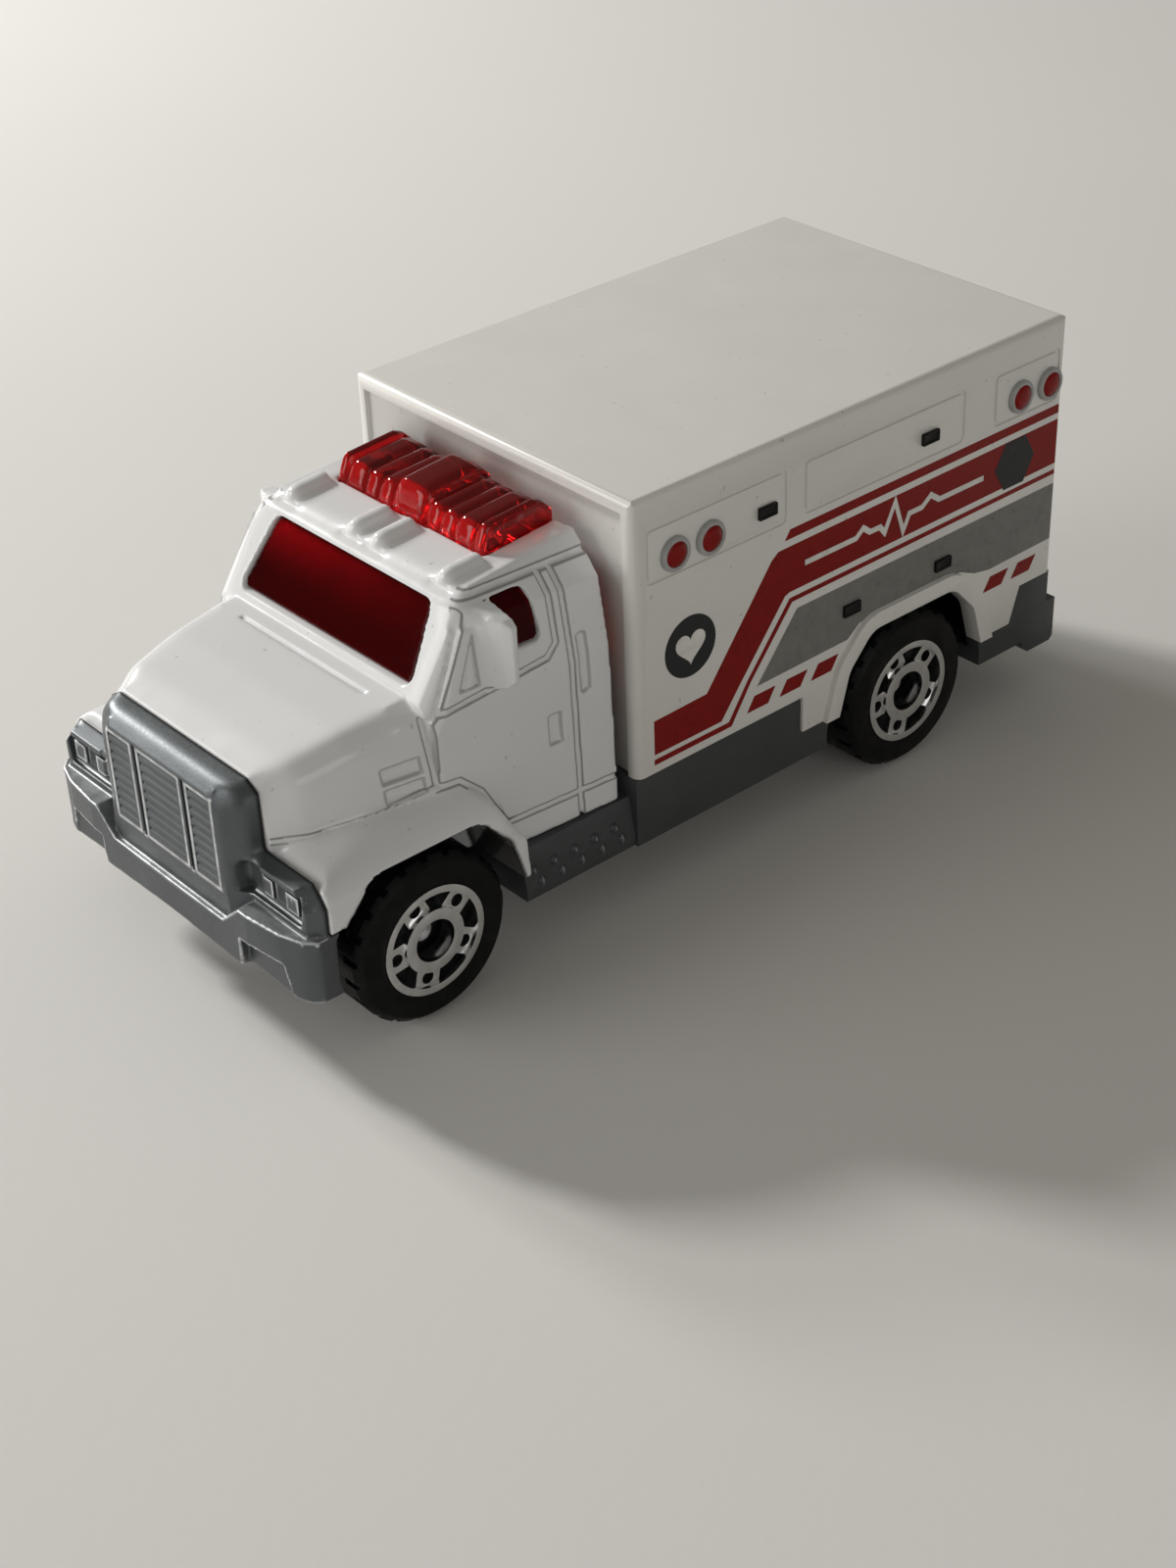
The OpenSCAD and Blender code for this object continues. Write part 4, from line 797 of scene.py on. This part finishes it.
def with_corner_fills(obj):
    """Adds a block behind each mirror's head that closes the window's front corner."""
    shape = opened(obj.data)
    low, high = (Vector(corner) * MM for corner in CORNER_FILL)
    middle, size = (low + high) / 2.0, high - low
    for side in (1.0, -1.0):
        matrix = Matrix.Translation((side * middle.x, middle.y, middle.z)) @ Matrix.Diagonal((*size, 1.0))
        bmesh.ops.create_cube(shape, size=1.0, matrix=matrix)
    closed(shape, obj.data)
    return obj


def inside_arch(points, normals):
    """1 where a mudguard faces its wheel, where the cab gets a painted shade."""
    off = points[:, 1:] / MM - FRONT_AXLE
    reach = np.hypot(off[:, 0], off[:, 1])
    facing = -(normals[:, 1:] * off).sum(axis=1) / reach
    return ramp(facing, *ARCH_FACING) * ramp(reach, *ARCH_REACH)


def sweep_mirrors(points):
    """Turns the mirrors' front faces outwards and thins their feet."""
    across, along, height = folded(points).T
    out = across - cab_half(along, height)
    mirror = (along > MIRROR_FRONT) & (along < MIRROR_REAR) & (height > MIRROR_LOW) & (height < MIRROR_HIGH)
    turn = MIRROR_TURN * ramp(out, *MIRROR_SPAN) + MIRROR_THIN * ramp(height, MIRROR_HIGH, MIRROR_LOW)
    points[:, 1] += (MIRROR_REAR - along) * turn * mirror * ramp(out, *MIRROR_ROOT) * MM


class AMBULANCE_OT_cab(bpy.types.Operator):
    """Casts the cab with soft painted edges and pressed panel lines"""

    bl_idname = "ambulance.cab"
    bl_label = "Cab casting"

    # Painted shade along the panel lines: distance in millimetres from their middles, and darkness
    PANEL_LINE_SHADE = (
        ("bead_gap", ((0.0, 0.0), (0.11, 0.0), (0.22, 0.85), (0.35, 0.0))),
        ("pressed_gap", ((0.0, 0.6), (0.05, 0.45), (0.15, 0.0))),
    )

    def execute(self, context):
        shape = context.scene.ambulance_shape
        obj = soften(with_corner_fills(cad_copy("cab_casting", "cab")), shape.paint_edge, 3)
        relax(obj, cab_weights(coordinates(obj)[0]), 120)
        points, normals = coordinates(obj)
        crease = np.exp(-(line_distance(points, CREASE) / shape.line_width) ** 2) * on_side(points, normals)
        points += normals * (crease * shape.line_depth)[:, None]
        sweep_mirrors(points)
        set_points(obj, points)
        thin(obj, MOST_FACES)
        points, normals = coordinates(obj)
        for name, numbers in {
            "bead_gap": np.min([line_distance(points, line) for line in BEADS], axis=0) / MM,
            "pressed_gap": np.min([line_distance(points, line) for line in PRESSED], axis=0) / MM,
            "side": on_side(points, normals),
            # Painted shade inside the front wheel arches
            "arch_shade": inside_arch(points, normals),
        }.items():
            add_values(obj, name, np.minimum(numbers, 1.0))
        smooth_shade(obj, 60.0)
        paint = painted("cab_enamel", context.scene.ambulance_finish.cab_white, (0.16, 0.26), self.PANEL_LINE_SHADE, "arch_shade")
        dress(obj, paint, "body", "white_enamel", "cab_casting")
        return {"FINISHED"}


def bare_sides(obj):
    """Levels the moulded lamps and latches, which are pieces of their own in the looks."""
    side = BOX_SIDE * MM
    shape = opened(obj.data)
    for vert in shape.verts:
        if abs(vert.co.x) > side and vert.co.z > LAMP_FOOT * MM:
            vert.co.x = math.copysign(side, vert.co.x)
    bmesh.ops.remove_doubles(shape, verts=shape.verts, dist=0.001 * MM)
    bmesh.ops.dissolve_degenerate(shape, edges=shape.edges, dist=0.0005 * MM)
    closed(shape, obj.data)
    return obj


class AMBULANCE_OT_box(bpy.types.Operator):
    """Moulds the box body with its door lines and wheel arches"""

    bl_idname = "ambulance.box"
    bl_label = "Box body"

    def execute(self, context):
        obj = crisp(bare_sides(cad_copy("box_module", "box")), 0.12)
        paint = painted("box_plastic", context.scene.ambulance_finish.box_white, (0.3, 0.42))
        dress(obj, paint, "body", "white_plastic", "box_module")
        return {"FINISHED"}


class AMBULANCE_OT_side_lamps(bpy.types.Operator):
    """Sets the round side lamps and the latch pads on both sides of the box"""

    bl_idname = "ambulance.side_lamps"
    bl_label = "Side lamps and latches"

    BEZEL = (
        (1.25, 0.0), (1.25, 0.22), (1.18, 0.33), (1.05, 0.38), (0.93, 0.34), (0.88, 0.2), (0.88, 0.0), (1.25, 0.0))
    LENS = ((0.9, 0.0), (0.9, 0.26), (0.78, 0.36), (0.5, 0.42), (0.22, 0.44), (0.0, 0.45))

    def execute(self, context):
        silver = printed("bezel_silver_ink", (0.42, 0.42, 0.415), 0.3)
        red = printed("lens_red_ink", context.scene.ambulance_finish.stripe_red, 0.22)
        black = printed("latch_black_ink", (0.012, 0.012, 0.012), 0.4)
        for name, mesh, spots, ink in (
            ("lamp_bezels", lathe(self.BEZEL, "bezel"), LAMP_PLACES, silver),
            ("lamp_lenses", lathe(self.LENS, "lens"), LAMP_PLACES, red),
            ("latch_pads", pad(LATCH_SIZE, "latch"), LATCH_PLACES, black),
        ):
            obj = copies_at([(BOX_SIDE, y, z) for y, z in spots], mesh, ink, name)
            dress(smooth_shade(obj, 50.0), ink, "body", "white_plastic")
        return {"FINISHED"}


def disc(at, radius, corners):
    """Outline of an even polygon."""
    return [(at[0] + radius * math.cos(a), at[1] + radius * math.sin(a)) for a in turns(corners)]


def heart(at, size):
    """Outline of a heart."""
    places = []
    for a in turns(ROUND_STEPS):
        y = math.sin(a) ** 3
        z = (13.0 * math.cos(a) - 5.0 * math.cos(2 * a) - 2.0 * math.cos(3 * a) - math.cos(4 * a)) / 16.0
        places.append((at[0] + size * y, at[1] + size * z))
    return places


class AMBULANCE_OT_prints(bpy.types.Operator):
    """Prints the stripes on both sides of the box"""

    bl_idname = "ambulance.prints"
    bl_label = "Printed stripes"

    def execute(self, context):
        finish = context.scene.ambulance_finish
        lift = context.scene.ambulance_shape.print_lift
        dashes = [[(y + start, z) for y, z in DASH] for start in DASH_STARTS]
        marks = [disc(ROUNDEL_AT, ROUNDEL_R, ROUND_STEPS), disc(BADGE_AT, BADGE_R, 6)]
        lines = [stroke(PULSE, PULSE_WIDTH), heart(ROUNDEL_AT, HEART_SIZE)]
        for ink, layer, material, colour, outlines in (
            ("red", 1, "stripe_red_ink", finish.stripe_red, [BAND, BAND_UNDERLINE, BAND_OVERLINE] + dashes),
            ("grey", 1, "panel_grey_ink", finish.stripe_grey, [GREY_PANEL]),
            ("dark", 2, "badge_dark_ink", (0.03, 0.031, 0.034), marks),
            ("white", 3, "pulse_white_ink", finish.box_white, lines),
        ):
            meshes = [
                prism(outline, side * BOX_SIDE * MM, side * lift * layer, ink)
                for outline in outlines for side in (1.0, -1.0)]
            dress(joined(meshes, "stripes_" + ink), printed(material, colour), "body", "white_plastic")
        return {"FINISHED"}


def front_weights(points):
    """1 on the grille's surround, the bumper's ends and the backs of the lamp housings."""
    places = folded(points)
    across, along, height = places.T
    panels = (along < GRILLE_FACE + PANELS_DEPTH) & (across < PANELS_HALF)
    surround = region(places, GRILLE_SURROUND) * (across < SURROUND_HALF) * ~panels
    foot = FOOT_SHARE * ramp(height, *BUMPER_FOOT) * (along < FOOT_REAR)
    rest = [region(places, ranges) for ranges in (LAMP_WINGS, BUMPER_LIP, BUMPER_END)]
    return np.max([surround, foot, *rest], axis=0)


def worn_and_highlit_edges(obj):
    """Edges made bright by wear and a painted highlight, a painted highlight on the bumper's upward ledge, and
    painted highlight lines on the thin frames round the grille panels and the lamps.
    """
    points, normals = coordinates(obj)
    places = folded(points)
    across, along, height = places.T
    lines = np.max([frame_line(across, height, sides) for sides in HIGHLIGHT_FRAMES], axis=0)
    lines *= ramp(normals[:, 1], *FRAME_FACING) * (along < FRONT_FACES)
    # Painted highlight: the bumper's upward-facing ledge is made lighter
    ledge = LEDGE_HIGHLIGHT * ramp(normals[:, 2], *LEDGE_FACING) * (height > LEDGE_FOOT)
    return np.maximum(lines, np.maximum(edge_wear_and_highlight(obj), ledge) * region(places, BUMPER_WEAR_AND_HIGHLIGHT))


class AMBULANCE_OT_front(bpy.types.Operator):
    """Moulds the grille, headlamps and bumper"""

    bl_idname = "ambulance.front"
    bl_label = "Front moulding"

    def execute(self, context):
        obj = cad_copy("front_moulding", "grille_and_bumper")
        soften(obj, context.scene.ambulance_shape.mould_edge, 2)
        points = coordinates(obj)[0]
        across, along, height = folded(points).T
        depth = along - GRILLE_FACE
        inside = np.any([(across > low) & (across < high) for low, high in GRILLE_PANELS], axis=0)
        inside &= (depth > 0.0) & (depth < GRILLE_REACH) & (height > GRILLE_FOOT) & (height < GRILLE_HEAD)
        points[inside, 1] = (GRILLE_FACE + depth[inside] * GRILLE_SHARE) * MM
        set_points(obj, points)
        relax(obj, front_weights(points), 200, 0.7)
        thin(obj, MOST_FACES)
        add_values(obj, "edge_wear_and_highlight", worn_and_highlit_edges(obj))
        # Painted shade where the moulding meets the cab
        add_values(obj, "joint_shade", region(folded(coordinates(obj)[0]), JOINT_SHADE_RIM))
        smooth_shade(obj, 60.0)
        colour = context.scene.ambulance_finish.moulding_grey
        # The last colour is for the edges: partly edge wear, partly painted highlight
        grey = moulded("moulding_grey", colour, 0.6, (0.34, 0.46), (0.86, 0.89, 0.91))
        dress(obj, grey, "body", "grey_plastic", "front_moulding")
        return {"FINISHED"}


class AMBULANCE_OT_base(bpy.types.Operator):
    """Moulds the base with its skirts, steps and rear bumper"""

    bl_idname = "ambulance.base"
    bl_label = "Base"

    def execute(self, context):
        colour = context.scene.ambulance_finish.moulding_grey
        grey = moulded("base_grey", tinted(colour, 0.48), 0.15)
        dress(crisp(cad_copy("chassis_base", "base"), 0.15), grey, "body", "grey_plastic", "chassis_base")
        # Painted highlight: the studs get a lighter copy of the base grey, standing in for the glints on them
        wear_and_highlight = moulded("stud_grey_painted_highlight", tinted(colour, 2.2), 0.5, (0.22, 0.32))
        for row, (across, start, pitch, height, half) in enumerate(STUD_ROWS):
            places = [(across, start + pitch * i, height) for i in range(STUDS)]
            name = "step_studs_%d" % (row + 1)
            shape = bead((STUD_DEPTH, STUD_HALF, half), name + "_shape")
            dress(smooth_shade(copies_at(places, shape, wear_and_highlight, name), 40.0), wear_and_highlight, "body", "grey_plastic")
        return {"FINISHED"}


def bar_top(places):
    """Height of the lobed light bar's top over each place."""
    across = (places[:, 0] + BAR_HALF) / (BAR_HALF * 2.0)
    share = np.full(len(places), BAR_VALLEY)
    forward = np.zeros(len(places))
    start = 0.0
    for width, height in BAR_LOBES:
        middle = np.clip(np.abs((across - start) / width * 2.0 - 1.0), 0.0, 1.0)
        round_off = np.sqrt(1.0 - middle ** (NARROW_POWER if width < NARROW_LOBE else WIDE_POWER))
        share = np.maximum(share, BAR_VALLEY + (height - BAR_VALLEY) * round_off)
        forward = np.maximum(forward, round_off)
        start += width
    back = BAR_SCALLOP * (1.0 - forward)
    run = np.interp((places[:, 1] - BAR_FRONT - back) / BAR_LENGTH, *zip(*BAR_RUN))
    return BAR_FOOT + BAR_HEIGHT * share * run


def painted_light_places(obj):
    """1 where light is painted in, at the lobes' fronts and the upper windscreen."""
    points, normals = coordinates(obj)
    places = points / MM
    bar = ramp(-normals[:, 1] + LOBE_SIDE * np.abs(normals[:, 0]), *LOBE_PAINTED_LIGHT)
    return np.where(places[:, HEIGHT] > BAR_FOOT, bar, region(places, SCREEN_PAINTED_LIGHT))


def flush(points, normals):
    """Brings the glass close behind the skin where the cab is open."""
    across, along, height = folded(points).T
    half = np.interp(height, *zip(SCREEN_FOOT, SCREEN_HEAD))
    skin = np.interp(height, *zip(SCREEN_START, SCREEN_END))
    above = past(height, SCREEN_FOOT[0], SCREEN_HEAD[0])
    screen = rounded_depth(across - half, above, SCREEN_CORNER) > GLASS_MARGIN
    screen &= (normals[:, 1] < -SCREEN_FACING) & (along > skin + GLASS_SET) & (along < skin + SCREEN_DEPTH)
    points[screen, 1] = (skin[screen] + GLASS_SET) * MM
    skin = cab_half(along, height)
    aside, above = past(along, *SIDE_WINDOW[0]), past(height, *SIDE_WINDOW[1])
    side = rounded_depth(aside, above, SIDE_CORNER) > GLASS_MARGIN
    side &= normals[:, 0] * np.sign(points[:, 0]) > SIDE_FACING
    side &= (across < skin - GLASS_SET) & (across > skin - SIDE_DEPTH)
    points[side, 0] = np.copysign((skin[side] - GLASS_SET) * MM, points[side, 0])


class AMBULANCE_OT_windows(bpy.types.Operator):
    """Moulds the red windows and the light bar in one clear piece"""

    bl_idname = "ambulance.windows"
    bl_label = "Windows and light bar"

    def execute(self, context):
        obj = soften(cad_copy("window_and_light_bar", "windows_and_light_bar"), 0.11 * MM, 1)
        points, normals = coordinates(obj)
        points[:, 2] = np.minimum(points[:, 2], bar_top(points / MM) * MM)
        flush(points, normals)
        set_points(obj, points)
        soften(obj, 0.09 * MM, 3)
        thin(obj, WINDOW_FACES)
        # Painted light on the lobes' fronts and the upper windscreen
        add_values(obj, "painted_light", painted_light_places(obj))
        smooth_shade(obj, 60.0)
        finish = context.scene.ambulance_finish
        red = clear_plastic("clear_red", finish.clear_red, finish.bar_red)
        dress(obj, red, "body", "red_clear_plastic", "window_and_light_bar")
        return {"FINISHED"}


class AMBULANCE_OT_interior(bpy.types.Operator):
    """Moulds the seats and dashboard"""

    bl_idname = "ambulance.interior"
    bl_label = "Cab interior"

    def execute(self, context):
        obj = crisp(cad_copy("cab_interior", "seats_and_dash"), 0.2)
        dress(obj, moulded("interior_black", (0.03, 0.03, 0.033)), "body", "dark_plastic", "cab_interior")
        return {"FINISHED"}


class AMBULANCE_OT_wheels(bpy.types.Operator):
    """Makes the treaded tyres and the bright pierced inserts"""

    bl_idname = "ambulance.wheels"
    bl_label = "Wheels"

    def execute(self, context):
        finish = context.scene.ambulance_finish
        black = rolled("tyre_black", finish.tyre_black)
        bright = plated("bright_plating", finish.bright_plating)
        for name in WHEELS:
            tyre = crisp(cad_copy(name + "_tyre", name + "_tyre_look"), 0.1)
            dress(tyre, black, name + "_wheel", "black_plastic", name + "_tyre")
            rim = crisp(cad_copy(name + "_rim", name + "_rim_look"), 0.12, 3)
            dress(rim, bright, name + "_wheel", "bright_plating", name + "_rim")
        return {"FINISHED"}


class AMBULANCE_OT_steel(bpy.types.Operator):
    """Finishes the axles and rivets"""

    bl_idname = "ambulance.steel"
    bl_label = "Axles and rivets"

    def execute(self, context):
        steel = plated("drawn_steel", (0.5, 0.5, 0.51), (0.2, 0.36))
        for node in ("front_axle", "rear_axle", "front_rivet", "middle_rivet", "rear_rivet"):
            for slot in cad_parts[node].material_slots:
                slot.material = steel
        return {"FINISHED"}


def set_floor(colour):
    """A wide sheet of paper."""
    skin = Skin("paper")
    skin.relief(skin.grain(900.0, 4.0), 0.25, 0.05)
    tone = skin.blend(skin.spread(skin.grain(9.0)), tinted(colour, 0.97), colour)
    mesh = bpy.data.meshes.new("floor")
    far = FLOOR_REACH
    mesh.from_pydata([(-far, -far, 0.0), (far, -far, 0.0), (far, far, 0.0), (-far, far, 0.0)], [], [(0, 1, 2, 3)])
    obj = place(mesh, "floor")
    obj.data.materials.append(skin.shaded({"Base Color": tone, "Roughness": 0.85}))


def set_camera(stage):
    """The photograph's camera."""
    data = bpy.data.cameras.new("view")
    data.sensor_fit = "VERTICAL"
    data.sensor_height = SENSOR
    data.lens = stage.focal_px * SENSOR / IMAGE_HEIGHT
    data.clip_start, data.clip_end = CLIP_START, CLIP_END
    obj = place(data, "view")
    matrix = Matrix.Translation(stage.target)
    for turn, axis in ((stage.azimuth, "Z"), (math.pi / 2.0 - stage.elevation, "X"), (stage.roll, "Z")):
        matrix = matrix @ Matrix.Rotation(turn, 4, axis)
    obj.matrix_world = matrix @ Matrix.Translation((0.0, 0.0, stage.distance))
    bpy.context.scene.camera = obj


def set_lamp(name, at, size, power):
    """A round lamp that points at the origin."""
    data = bpy.data.lights.new(name, "AREA")
    data.shape = "DISK"
    data.size = size
    data.energy = power
    data.color = LAMP_WHITE
    obj = place(data, name)
    obj.location = at
    obj.rotation_euler = (-Vector(at)).to_track_quat("-Z", "Y").to_euler()


class AMBULANCE_OT_stage(bpy.types.Operator):
    """Sets the floor, light and camera"""

    bl_idname = "ambulance.stage"
    bl_label = "Stage"

    def execute(self, context):
        stage = context.scene.ambulance_stage
        set_floor(stage.floor_white)
        set_camera(stage)
        for name, at, size, share in LAMPS:
            set_lamp(name, at, size, stage.key_power * share)
        world = bpy.data.worlds.new("studio")
        world.use_nodes = True
        sky = world.node_tree.nodes["Background"]
        sky.inputs["Color"].default_value = SKY_WHITE
        sky.inputs["Strength"].default_value = stage.fill
        context.scene.world = world
        context.scene.view_settings.view_transform = "Standard"
        return {"FINISHED"}


class AMBULANCE_PT_panel(bpy.types.Panel):
    """Lists the pieces of the toy ambulance"""

    bl_idname = "AMBULANCE_PT_panel"
    bl_label = "Toy Ambulance"
    bl_space_type = "VIEW_3D"
    bl_region_type = "UI"
    bl_category = "Ambulance"

    def draw(self, context):
        layout = self.layout
        for operator in OPERATORS:
            layout.operator(operator.bl_idname)
        for key in GROUPS:
            settings = getattr(context.scene, key)
            for name in settings.__annotations__:
                layout.prop(settings, name)


OPERATORS = (
    AMBULANCE_OT_stage, AMBULANCE_OT_cab, AMBULANCE_OT_box, AMBULANCE_OT_side_lamps,
    AMBULANCE_OT_prints, AMBULANCE_OT_front, AMBULANCE_OT_base, AMBULANCE_OT_windows,
    AMBULANCE_OT_interior, AMBULANCE_OT_wheels, AMBULANCE_OT_steel,
)
GROUPS = {
    "ambulance_shape": AmbulanceShape,
    "ambulance_finish": AmbulanceFinish,
    "ambulance_stage": AmbulanceStage,
}
CLASSES = (*GROUPS.values(), *OPERATORS, AMBULANCE_PT_panel)


def register():
    for kind in CLASSES:
        bpy.utils.register_class(kind)
    for key, group in GROUPS.items():
        setattr(bpy.types.Scene, key, bpy.props.PointerProperty(type=group))


def unregister():
    for key in GROUPS:
        delattr(bpy.types.Scene, key)
    for kind in reversed(CLASSES):
        bpy.utils.unregister_class(kind)


def main():
    register()
    bpy.ops.ambulance.stage()
    bpy.ops.ambulance.cab()
    bpy.ops.ambulance.box()
    bpy.ops.ambulance.side_lamps()
    bpy.ops.ambulance.prints()
    bpy.ops.ambulance.front()
    bpy.ops.ambulance.base()
    bpy.ops.ambulance.windows()
    bpy.ops.ambulance.interior()
    bpy.ops.ambulance.wheels()
    bpy.ops.ambulance.steel()


if __name__ == "__main__":
    main()
